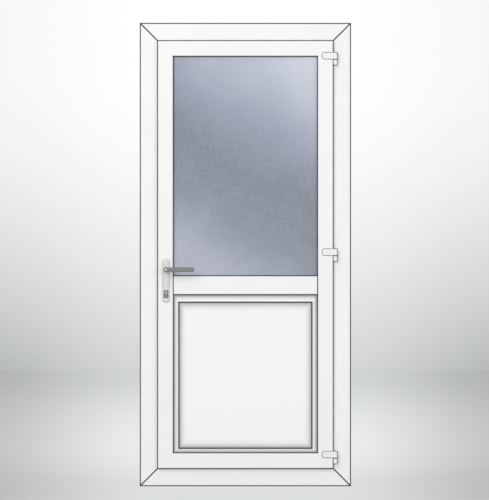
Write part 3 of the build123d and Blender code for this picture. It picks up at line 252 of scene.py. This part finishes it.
def satinFinish(d=satin):
    material, bench = finish("satinGlass")
    x, _, z = bench.axes()
    across = (x - d["left"]) / d["wide"]
    up = (z - d["bottom"]) / d["tall"]
    cloud = bench.noise(d["cloudScale"], d["detail"])
    slant = across * d["acrossShare"] + up * d["upShare"] + (cloud - 0.5) * d["cloudShare"]
    # the ramp mixes the glass's own blue-grey in the middle with a painted highlight towards both ends
    colour = bench.node("ShaderNodeValToRGB", {"stops": d["toneAndSheen"]}, {0: slant})
    upright = bench.noise(1.0, d["detail"], d["uprightStroke"])
    level = bench.noise(1.0, d["detail"], d["levelStroke"])
    stroke = bench.rise((upright + level) / 2.0, d["strokeFrom"], d["strokeTo"])
    colour = bench.blend(colour, d["stroke"], stroke * d["strokeShare"])
    bench.surface({
        "Base Color": colour,
        "Roughness": d["rough"] + d["strokeRough"] * stroke,
        "Transmission Weight": d["through"],
        "IOR": d["bend"],
        "Normal": bench.bump(stroke, d["bump"], d["bumpDeep"]),
    })
    return material


# back pane: clear with a slight haze
clear = {
    "tint": (0.84, 0.88, 0.9), "haze": (0.8, 0.86, 0.89), "hazeScale": 5.0, "hazeDetail": 3.0,
    "rough": 0.05, "hazeRough": 0.05, "through": 0.92, "bend": 1.5,
}


def clearFinish(d=clear):
    material, bench = finish("clearGlass")
    haze = bench.noise(d["hazeScale"], d["hazeDetail"])
    bench.surface({
        "Base Color": bench.blend(d["tint"], d["haze"], haze),
        "Roughness": d["rough"] + d["hazeRough"] * haze,
        "Transmission Weight": d["through"],
        "IOR": d["bend"],
    })
    return material


# seals: dull black with a chalky bloom
rubber = {
    "chalkScale": 160.0, "chalkDetail": 4.0, "patchScale": 14.0, "patchDetail": 3.0, "chalkShare": 0.5,
    "rough": 0.62, "chalkRough": 0.2, "bump": 0.15, "bumpDeep": 0.0003,
}


def rubberFinish(name, colour, bloom, d=rubber):
    material, bench = finish(name)
    chalk = bench.noise(d["chalkScale"], d["chalkDetail"])
    patch = bench.noise(d["patchScale"], d["patchDetail"])
    bench.surface({
        "Base Color": bench.blend(colour, bloom, chalk * d["chalkShare"] * patch),
        "Roughness": d["rough"] + d["chalkRough"] * chalk,
        "Normal": bench.bump(chalk, d["bump"], d["bumpDeep"]),
    })
    return material


# brushed metals: marks run along the axis with the smallest stretch
brushed = {
    "detail": 3.0, "smearScale": 38.0, "wornFrom": 0.3, "wornTo": 0.75, "wornShare": 0.6,
    "smearShare": 0.2, "metal": 0.85, "brushRough": 0.14, "smearRough": 0.06,
    "bump": 0.08, "bumpDeep": 0.0002,
}


def brushedFinish(name, colour, worn, rough, stretch, d=brushed):
    material, bench = finish(name)
    brush = bench.noise(1.0, d["detail"], stretch)
    smear = bench.noise(d["smearScale"], d["detail"])
    wear = bench.rise(brush, d["wornFrom"], d["wornTo"]) * d["wornShare"] + smear * d["smearShare"]
    bench.surface({
        "Base Color": bench.blend(colour, worn, wear),
        "Metallic": d["metal"],
        "Roughness": rough + d["brushRough"] * brush + d["smearRough"] * smear,
        "Normal": bench.bump(brush, d["bump"], d["bumpDeep"]),
    })
    return material


# steel bars: zinc spangle
galvanised = {
    "dull": (0.42, 0.44, 0.46), "bright": (0.62, 0.64, 0.65), "spangle": 130.0,
    "metal": 0.9, "rough": 0.32, "toneRough": 0.2,
}


def galvanisedFinish(d=galvanised):
    material, bench = finish("galvanisedSteel")
    cells = {"Vector": bench.place(), "Scale": d["spangle"]}
    spangle = bench.node("ShaderNodeTexVoronoi", None, cells, "Color")
    tone = bench.node("ShaderNodeSeparateColor", None, {0: spangle})
    bench.surface({
        "Base Color": bench.blend(d["dull"], d["bright"], tone),
        "Metallic": d["metal"],
        "Roughness": d["rough"] + d["toneRough"] * tone,
    })
    return material


# hinges: white coat with a fine peel
coated = {
    "white": (0.87, 0.87, 0.868), "shade": (0.82, 0.822, 0.825), "peelScale": 420.0, "castScale": 30.0,
    "detail": 2.0, "rough": 0.26, "peelRough": 0.1, "coat": 0.3, "coatRough": 0.15,
    "bump": 0.12, "bumpDeep": 0.0003,
}


def coatedFinish(d=coated):
    material, bench = finish("whiteCoat")
    peel = bench.noise(d["peelScale"], d["detail"])
    cast = bench.noise(d["castScale"], d["detail"])
    bench.surface({
        "Base Color": bench.blend(d["white"], d["shade"], cast),
        "Roughness": d["rough"] + d["peelRough"] * peel,
        "Coat Weight": d["coat"],
        "Coat Roughness": d["coatRough"],
        "Normal": bench.bump(peel, d["bump"], d["bumpDeep"]),
    })
    return material


# blocks and bushes: blue-grey moulding
moulded = {
    "colour": (0.12, 0.2, 0.32), "pale": (0.2, 0.28, 0.4), "grainScale": 620.0, "grainDetail": 3.0,
    "grainShare": 0.4, "rough": 0.45, "grainRough": 0.15, "bump": 0.1, "bumpDeep": 0.0002,
}


def mouldedFinish(d=moulded):
    material, bench = finish("blockPlastic")
    grain = bench.noise(d["grainScale"], d["grainDetail"])
    bench.surface({
        "Base Color": bench.blend(d["colour"], d["pale"], grain * d["grainShare"]),
        "Roughness": d["rough"] + d["grainRough"] * grain,
        "Normal": bench.bump(grain, d["bump"], d["bumpDeep"]),
    })
    return material


# one finish for each group of pieces; metals give colour, worn colour, roughness and stretch
finishes = {
    "uprightFrame": pvcFinish("uprightFrame", pvc["upright"], True),
    "levelFrame": pvcFinish("levelFrame", pvc["level"], True),
    "uprightSash": pvcFinish("uprightSash", pvc["upright"], False),
    "levelSash": pvcFinish("levelSash", pvc["level"], False),
    "panel": panelFinish(),
    "satinGlass": satinFinish(),
    "clearGlass": clearFinish(),
    "gasket": rubberFinish("gasketRubber", (0.018, 0.018, 0.019), (0.06, 0.06, 0.063)),
    "edgeSeal": rubberFinish("edgeSeal", (0.025, 0.025, 0.027), (0.08, 0.08, 0.083)),
    "galvanised": galvanisedFinish(),
    "coated": coatedFinish(),
    "blocks": mouldedFinish(),
    "zinc": brushedFinish("zincSteel", (0.55, 0.55, 0.54), (0.68, 0.67, 0.64), 0.3, (60.0, 60.0, 60.0)),
    "mill": brushedFinish("spacerMill", (0.58, 0.59, 0.6), (0.7, 0.7, 0.71), 0.35, (20.0, 400.0, 20.0)),
    "plate": brushedFinish("satinPlate", (0.65, 0.65, 0.655), (0.77, 0.77, 0.77), 0.34,
                           (900.0, 900.0, 12.0)),
    "lever": brushedFinish("greyLever", (0.2, 0.2, 0.207), (0.265, 0.265, 0.272), 0.34,
                           (14.0, 900.0, 900.0)),
    "lock": brushedFinish("lockSteel", (0.56, 0.56, 0.57), (0.7, 0.7, 0.7), 0.28, (900.0, 900.0, 14.0)),
    "guard": brushedFinish("darkGuard", (0.12, 0.12, 0.124), (0.19, 0.19, 0.193), 0.34,
                           (300.0, 30.0, 300.0)),
    "cylinder": brushedFinish("cylinderNickel", (0.27, 0.27, 0.275), (0.36, 0.36, 0.36), 0.3,
                              (300.0, 30.0, 300.0)),
    "plug": brushedFinish("plugNickel", (0.45, 0.44, 0.42), (0.56, 0.55, 0.53), 0.26,
                          (300.0, 30.0, 300.0)),
}


def dress(look, *names):
    for name in names:
        slots = nodes[name].data.materials
        slots.clear()
        slots.append(finishes[look])


hingePlaces = ("top", "middle", "bottom")
beads = {side: [f"{kind}_bead_{side}" for kind in ("glass", "panel")]
         for side in ("left", "right", "bottom", "top")}
hinges = [f"hinge_{half}_{place}" for half in ("flag", "knuckle") for place in hingePlaces]

dress("uprightFrame", "frame_lock_jamb", "frame_hinge_jamb")
dress("levelFrame", "frame_head", "frame_bottom")
dress("uprightSash", "sash_lock_stile", "sash_hinge_stile", *beads["left"], *beads["right"])
dress("levelSash", "sash_top_rail", "sash_bottom_rail", "transom", *beads["bottom"], *beads["top"])
dress("panel", "infill_panel")
dress("satinGlass", "glass_front_pane")
dress("clearGlass", "glass_back_pane")
dress("gasket", "frame_gasket", "sash_gasket", "glass_gasket", "panel_gasket", "transom_end_seals",
      "glass_edge_sealant")
dress("edgeSeal", "frame_edge_seal")
dress("galvanised", "frame_reinforcement", "sash_reinforcement", "transom_reinforcement")
dress("zinc", "strike_screws", "hinge_knuckle_bolts", "faceplate_screws", "handle_bolts", "hinge_pins",
      "spindle", "lock_follower", "lock_case")
dress("coated", *hinges, "hinge_flag_screws")
dress("mill", "glass_spacer")
dress("blocks", "setting_blocks", "hinge_bushes")
dress("plate", "front_backplate", "rear_backplate", "lever_caps")
dress("lever", "front_lever", "rear_lever")
dress("lock", "strike_plate", "lock_faceplate", "latch_bolt", "deadbolt")
dress("guard", "cylinder_guards")
dress("cylinder", "cylinder_body")
dress("plug", "cylinder_plug")
print("finishes laid on:", len(finishes))


# hand tools for the new pieces
making = {"sharp": 35.0, "along": 0.99, "join": 1e-6, "flat": 1e-5}


def keep(name, form, body, look):
    bmesh.ops.recalc_face_normals(form, faces=form.faces)
    mesh = bpy.data.meshes.new(name)
    form.to_mesh(mesh)
    form.free()
    mesh.materials.append(finishes[look])
    for face in mesh.polygons:
        face.use_smooth = True
    mesh.set_sharp_from_angle(angle=math.radians(making["sharp"]))
    piece = bpy.data.objects.new(name, mesh)
    bpy.context.scene.collection.objects.link(piece)
    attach(piece, body)
    return piece


def edgesAlong(form, axis):
    return [edge for edge in form.edges
            if abs((edge.verts[1].co - edge.verts[0].co).normalized()[axis]) > making["along"]]


def freshVerts(geom):
    return [item for item in geom if isinstance(item, bmesh.types.BMVert)]


def block(size, middle):
    form = bmesh.new()
    bmesh.ops.create_cube(form, size=1.0)
    bmesh.ops.scale(form, vec=size, verts=form.verts)
    bmesh.ops.translate(form, vec=middle, verts=form.verts)
    return form


def roundOff(form, geom, radius, steps, affect="EDGES"):
    bmesh.ops.bevel(form, geom=geom, offset=radius, segments=steps, profile=0.5, affect=affect, material=-1)


def turn(form, places, centre, axis, steps, closed=True):
    points = [form.verts.new(place) for place in places]
    following = points[1:] + points[:1] if closed else points[1:]
    edges = [form.edges.new(pair) for pair in zip(points, following)]
    bmesh.ops.spin(form, geom=points + edges, cent=centre, axis=axis, angle=math.tau, steps=steps,
                   use_merge=True, use_duplicate=False)
    bmesh.ops.remove_doubles(form, verts=form.verts, dist=making["join"])


# hooded covers over the drain slots in the frame's back
weepCover = {
    "places": (-0.2744, 0.2744), "z": 0.043, "long": 0.048, "tall": 0.02, "proud": 0.0052,
    "endRound": 0.0098, "endSteps": 6, "edgeRound": 0.0016, "edgeSteps": 3, "outerShare": 0.9,
    "corner": 0.5, "rim": 0.0014, "mouthDeep": 0.006, "mouthLeast": 5e-5,
}


def makeWeepCovers(d):
    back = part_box("frame_bottom")[1].y
    for number, x in enumerate(d["places"]):
        form = block((d["long"], d["proud"], d["tall"]), (x, back + d["proud"] / 2, d["z"]))
        upper = [edge for edge in edgesAlong(form, 1) if edge.verts[0].co.z > d["z"]]
        roundOff(form, upper, d["endRound"], d["endSteps"])
        outer = [edge for edge in form.edges
                 if all(v.co.y > back + d["proud"] * d["outerShare"] for v in edge.verts)
                 and len(edge.link_faces) == 2
                 and abs(edge.link_faces[0].normal.dot(edge.link_faces[1].normal)) < d["corner"]]
        roundOff(form, outer, d["edgeRound"], d["edgeSteps"])
        form.normal_update()
        mouth = [face for face in form.faces
                 if face.normal.z < -making["along"] and face.calc_area() > d["mouthLeast"]]
        bmesh.ops.inset_region(form, faces=mouth, thickness=d["rim"], use_even_offset=True)
        lip = list({v for face in mouth for v in face.verts})
        bmesh.ops.translate(form, vec=(0.0, 0.0, d["mouthDeep"]), verts=lip)
        keep(f"weepCover{number}", form, "frame", "levelSash")


# bearing rings where the lever necks turn in the backplates
neckRing = {
    "x": -0.3679, "z": 1.005, "bore": 0.00985, "rim": 0.0114, "proud": 0.0013, "round": 0.0005, "steps": 56,
}


def makeNeckRings(d):
    for name, plate, out in (("frontNeckRing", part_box("front_backplate")[0].y, -1.0),
                             ("rearNeckRing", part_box("rear_backplate")[1].y, 1.0)):
        corners = [(d["bore"], 0.0), (d["bore"], d["proud"]), (d["rim"] - d["round"], d["proud"]),
                   (d["rim"], d["proud"] - d["round"]), (d["rim"], 0.0)]
        places = [(d["x"] + r, plate + out * h, d["z"]) for r, h in corners]
        form = bmesh.new()
        turn(form, places, (d["x"], plate, d["z"]), (0.0, 1.0, 0.0), d["steps"])
        keep(name, form, "leaf", "gasket")


# dark seats that show as a thin line round the hinge flags and the backplates; the line is partly painted
# shade, a dark rim standing in for the shadow line round each
def rimOutline(low, high, face, corner, steps, bothEnds):
    middle = ((low[0] + high[0]) / 2, face, (low[1] + high[1]) / 2)
    upright = Matrix.Rotation(math.radians(90.0), 4, "X")
    form = bmesh.new()
    bmesh.ops.create_grid(form, x_segments=1, y_segments=1, size=0.5, matrix=upright)
    bmesh.ops.scale(form, vec=(high[0] - low[0], 1.0, high[1] - low[1]), verts=form.verts)
    bmesh.ops.translate(form, vec=middle, verts=form.verts)
    rounded = [v for v in form.verts if bothEnds or v.co.x < middle[0]]
    roundOff(form, rounded, corner, steps, "VERTICES")
    return form


def cutToRim(form, width, thick, stop=None):
    inner = list(form.faces)
    bmesh.ops.inset_region(form, faces=inner, thickness=width, use_even_offset=True, use_boundary=True)
    bmesh.ops.delete(form, geom=inner, context="FACES")
    if stop is not None:
        hidden = [face for face in form.faces if face.calc_center_median().x > stop]
        bmesh.ops.delete(form, geom=hidden, context="FACES")
    raised = bmesh.ops.extrude_face_region(form, geom=list(form.faces))["geom"]
    bmesh.ops.translate(form, vec=(0.0, thick, 0.0), verts=freshVerts(raised))
    return form


hingeShadeRim = {
    "rim": 0.0025, "thick": 0.0008, "round": 0.0095, "steps": 8, "clear": 0.0001, "stop": 0.4022,
}


def makeHingeShadeRim(d, place):
    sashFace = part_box("sash_hinge_stile")[0].y
    flagLow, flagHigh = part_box(f"hinge_flag_{place}")
    low = (flagLow.x - d["rim"], flagLow.z - d["rim"])
    high = (d["stop"], flagHigh.z + d["rim"])
    form = rimOutline(low, high, sashFace, d["round"] + d["rim"], d["steps"], False)
    form = cutToRim(form, d["rim"] - d["clear"], -d["thick"], d["stop"] - d["rim"])
    keep(f"hingeShadeRim_{place}", form, "leaf", "gasket")


# packers under the knuckles, partly painted shade: their dark edges round the knuckles stand in for the
# shadow line there
hingeShadePacker = {
    "left": 0.4102, "right": 0.4288, "thick": 0.0011, "over": 0.0026,
    "topRound": 0.003, "footRound": 0.0085, "steps": 8,
}


def makeHingeShadePacker(d, place):
    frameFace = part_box("frame_hinge_jamb")[0].y
    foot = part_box(f"hinge_knuckle_{place}")[0].z - d["over"]
    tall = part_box(f"hinge_flag_{place}")[1].z + d["over"] - foot
    wide = d["right"] - d["left"]
    middle = (d["left"] + wide / 2, frameFace - d["thick"] / 2, foot + tall / 2)
    form = block((wide, d["thick"], tall), middle)
    for corner, isFoot in ((d["footRound"], True), (d["topRound"], False)):
        ends = [edge for edge in edgesAlong(form, 1)
                if edge.verts[0].co.x > middle[0] and (edge.verts[0].co.z < middle[2]) == isFoot]
        roundOff(form, ends, corner, d["steps"])
    keep(f"hingeShadePacker_{place}", form, "frame", "gasket")


# collars at the tops of the knuckles
hingeCollar = {
    "x": 0.417, "y": -0.0525, "bore": 0.00905, "rim": 0.0096, "tall": 0.0032, "round": 0.0003, "steps": 48,
}


def makeHingeCollar(d, place):
    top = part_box(f"hinge_knuckle_{place}")[1].z
    corners = [(d["bore"], -d["tall"]), (d["bore"], 0.0), (d["rim"] - d["round"], 0.0),
               (d["rim"], -d["round"]), (d["rim"], -d["tall"])]
    places = [(d["x"] + r, d["y"], top + h) for r, h in corners]
    form = bmesh.new()
    turn(form, places, (d["x"], d["y"], top), (0.0, 0.0, 1.0), d["steps"])
    keep(f"hingeCollar_{place}", form, "frame", "gasket")


# dark seats under the backplates, partly painted shade: their rim stands in for the shadow line round each
# plate
plateSeatShadeRim = {"rim": 0.0011, "thick": 0.0012, "corner": 0.0125, "steps": 8, "clear": 0.0001}


def makePlateSeatShadeRims(d):
    stileLow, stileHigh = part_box("sash_lock_stile")
    for name, plate, face, out in (("frontPlateSeatShadeRim", "front_backplate", stileLow.y, -1.0),
                                   ("rearPlateSeatShadeRim", "rear_backplate", stileHigh.y, 1.0)):
        plateLow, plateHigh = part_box(plate)
        low = (plateLow.x - d["rim"], plateLow.z - d["rim"])
        high = (plateHigh.x + d["rim"], plateHigh.z + d["rim"])
        form = rimOutline(low, high, face, d["corner"] + d["rim"], d["steps"], True)
        form = cutToRim(form, d["rim"] - d["clear"], out * d["thick"])
        keep(name, form, "leaf", "gasket")


# cross-recessed screws in place of the plain ones
crossScrew = {
    "radius": 0.002, "head": 0.0038, "headDeep": 0.002, "long": 0.022, "tip": 0.005, "steps": 28,
    "apart": 0.009, "arm": 0.0023, "armHalf": 0.0005, "deep": 0.0015, "taper": 0.7, "twist": 37.0,
}


def headCentres(node, outward, apart):
    points = [vertex.co for vertex in nodes[node].data.vertices]
    face = max(point.dot(outward) for point in points)
    heads = []
    for point in points:
        if point.dot(outward) < face - making["flat"]:
            continue
        head = next((head for head in heads if (head[0] - point).length < apart), None)
        if head is None:
            heads.append([point])
        else:
            head.append(point)
    centres = []
    for head in heads:
        low = Vector([min(along) for along in zip(*head)])
        high = Vector([max(along) for along in zip(*head)])
        centres.append((low + high) / 2)
    return centres


def addScrew(form, d, where):
    older = set(form.verts)
    side = [(d["head"], 0.0), (d["radius"], -d["headDeep"]),
            (d["radius"], d["tip"] - d["long"]), (0.0, -d["long"])]
    places = [(r, 0.0, h) for r, h in side]
    turn(form, places, (0.0, 0.0, 0.0), (0.0, 0.0, 1.0), d["steps"], closed=False)
    rim = [edge for edge in form.edges
           if all(v not in older and abs(v.co.z) < making["join"] for v in edge.verts)]
    quarter = [(d["armHalf"], d["armHalf"]), (d["armHalf"], d["arm"]), (-d["armHalf"], d["arm"])]
    outline = [Matrix.Rotation(math.radians(90.0 * arm), 2) @ Vector(point)
               for arm in range(4) for point in quarter]
    cross = form.faces.new([form.verts.new((point.x, point.y, 0.0)) for point in outline])
    bmesh.ops.triangle_fill(form, edges=rim + list(cross.edges), use_beauty=True)
    bed = freshVerts(bmesh.ops.extrude_face_region(form, geom=[cross])["geom"])
    bmesh.ops.scale(form, vec=(d["taper"], d["taper"], 1.0), verts=bed)
    bmesh.ops.translate(form, vec=(0.0, 0.0, -d["deep"]), verts=bed)
    bmesh.ops.delete(form, geom=[cross], context="FACES_ONLY")  # the lid left over the recess
    bmesh.ops.transform(form, matrix=where, verts=[v for v in form.verts if v not in older])


def makeScrews(d):
    for name, node, way, body in (("strikeScrews", "strike_screws", 1.0, "frame"),
                                  ("faceplateScrews", "faceplate_screws", -1.0, "leaf")):
        outward = Vector((way, 0.0, 0.0))
        facing = Vector((0.0, 0.0, 1.0)).rotation_difference(outward).to_matrix().to_4x4()
        form = bmesh.new()
        for number, centre in enumerate(headCentres(node, outward, d["apart"])):
            spun = Matrix.Rotation(math.radians(d["twist"] * number), 4, "Z")
            addScrew(form, d, Matrix.Translation(centre) @ facing @ spun)
        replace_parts(keep(name, form, body, "zinc"), node)


makeScrews(crossScrew)
makeWeepCovers(weepCover)
makeNeckRings(neckRing)
for hingePlace in hingePlaces:
    makeHingeShadeRim(hingeShadeRim, hingePlace)
    makeHingeShadePacker(hingeShadePacker, hingePlace)
    makeHingeCollar(hingeCollar, hingePlace)
makePlateSeatShadeRims(plateSeatShadeRim)
print("small pieces made")


# pale floor with painted shade that darkens it towards the sides and a paler painted band in the middle
# distance, and a sky that meets it at the horizon
ground = {
    "reach": 38.6, "segments": 96, "lit": (0.62, 0.64, 0.65), "rough": 0.8, "glow": 0.75,
    "near": (0.715, 0.73, 0.74), "mid": (0.93, 0.945, 0.955), "far": (0.7, 0.717, 0.728),
    "nearFrom": -4.0, "nearTo": 8.0, "farFrom": 8.0, "farTo": 35.0, "fanShadeColour": (0.0, 0.0, 0.0),
    "fanApex": 40.0, "fanStart": 0.01, "fanEnd": 0.032, "fanShade": 0.42,
    "sideFrom": 2.6, "sideTo": 7.0, "frontFrom": -5.0, "frontTo": -1.5,
}


def makeFloor(d):
    form = bmesh.new()
    bmesh.ops.create_circle(form, cap_ends=True, segments=d["segments"], radius=d["reach"])
    mesh = bpy.data.meshes.new("studioFloor")
    form.to_mesh(mesh)
    form.free()
    floor = bpy.data.objects.new("studioFloor", mesh)
    bpy.context.scene.collection.objects.link(floor)
    material, bench = finish("paleFloor")
    x, y, _ = bench.axes()
    # painted shade: the fan darkens the floor towards the sides
    fan = bench.rise(abs(x) / (y + d["fanApex"]), d["fanStart"], d["fanEnd"])
    fan = fan * (1.0 - bench.rise(abs(x), d["sideFrom"], d["sideTo"]))
    fan = fan * bench.rise(y, d["frontFrom"], d["frontTo"])
    # painted light falloff: paler in the middle distance, darker near the door and far away
    tone = bench.blend(d["near"], d["mid"], bench.rise(y, d["nearFrom"], d["nearTo"]))
    tone = bench.blend(tone, d["far"], bench.rise(y, d["farFrom"], d["farTo"]))
    tone = bench.blend(tone, d["fanShadeColour"], fan * d["fanShade"])
    lit = bench.node("ShaderNodeBsdfPrincipled", None, {"Base Color": d["lit"], "Roughness": d["rough"]})
    glow = bench.node("ShaderNodeEmission", None, {"Color": tone})
    mixed = bench.node("ShaderNodeMixShader", None, {0: bench.seen() * d["glow"], 1: lit, 2: glow})
    bench.node("ShaderNodeOutputMaterial", None, {"Surface": mixed})
    mesh.materials.append(material)


sky = {
    "low": (0.51, 0.522, 0.53), "lowSideShade": (0.257, 0.279, 0.292),
    "high": (1.0, 1.0, 1.0), "highSideShade": (0.92, 0.925, 0.93),
    "from": -0.025, "to": 0.022, "curve": 0.6, "fanStart": 0.01, "fanEnd": 0.032,
    "sideFrom": 0.05, "sideTo": 0.2, "fill": 0.74, "fillColour": (1.0, 1.0, 1.0),
}


def makeSky(d):
    world = bpy.data.worlds.new("studioSky")
    world.use_nodes = True
    bpy.context.scene.world = world
    bench = Bench(world.node_tree)
    way = bench.node("ShaderNodeTexCoord", out="Generated")
    aside = bench.node("ShaderNodeSeparateXYZ", None, {0: way}, "X")
    height = bench.node("ShaderNodeSeparateXYZ", None, {0: way}, "Z")
    # painted shade: the sky is grey at the horizon rising to white above, and darkens towards the sides
    edge = bench.rise(abs(aside), d["fanStart"], d["fanEnd"])
    edge = edge * (1.0 - bench.rise(abs(aside), d["sideFrom"], d["sideTo"]))
    low = bench.blend(d["low"], d["lowSideShade"], edge)
    high = bench.blend(d["high"], d["highSideShade"], edge)
    colour = bench.blend(low, high, bench.rise(height, d["from"], d["to"]) ** d["curve"])
    fill = bench.node("ShaderNodeBackground", None, {"Color": d["fillColour"], "Strength": d["fill"]})
    shown = bench.node("ShaderNodeBackground", None, {"Color": colour, "Strength": 1.0})
    mixed = bench.node("ShaderNodeMixShader", None, {0: bench.seen(), 1: fill, 2: shown})
    bench.node("ShaderNodeOutputWorld", None, {"Surface": mixed})


# two soft lamps in front, and a camera straight on
lamps = {
    "keyLamp": {"place": (-2.6, -5.2, 3.9), "size": 3.2, "power": 115.0},
    "sideLamp": {"place": (3.7, -4.8, 1.9), "size": 2.0, "power": 57.0},
}
lampAim = (0.0, 0.0, 1.07)


def makeLamp(name, d):
    lamp = bpy.data.lights.new(name, "AREA")
    lamp.shape = "DISK"
    lamp.size = d["size"]
    lamp.energy = d["power"]
    holder = bpy.data.objects.new(name, lamp)
    way = Vector(lampAim) - Vector(d["place"])
    holder.matrix_world = Matrix.Translation(d["place"]) @ way.to_track_quat("-Z", "Y").to_matrix().to_4x4()
    bpy.context.scene.collection.objects.link(holder)


shot = {
    "distance": 40.0, "plane": -0.04, "x": -0.0042, "z": 1.0963, "tall": 2.3195, "sensor": 36.0, "end": 200.0,
}


def makeCamera(d):
    lens = bpy.data.cameras.new("frontCamera")
    lens.sensor_fit = "VERTICAL"
    lens.sensor_width = d["sensor"]
    lens.sensor_height = d["sensor"]
    lens.lens = d["sensor"] * d["distance"] / d["tall"]
    lens.clip_end = d["end"]
    camera = bpy.data.objects.new("frontCamera", lens)
    camera.location = (d["x"], d["plane"] - d["distance"], d["z"])
    camera.rotation_euler = (math.radians(90.0), 0.0, 0.0)
    bpy.context.scene.collection.objects.link(camera)
    bpy.context.scene.camera = camera


makeFloor(ground)
makeSky(sky)
for lampName, lampFacts in lamps.items():
    makeLamp(lampName, lampFacts)
makeCamera(shot)
bpy.context.scene.view_settings.view_transform = "Standard"
print("studio ready")
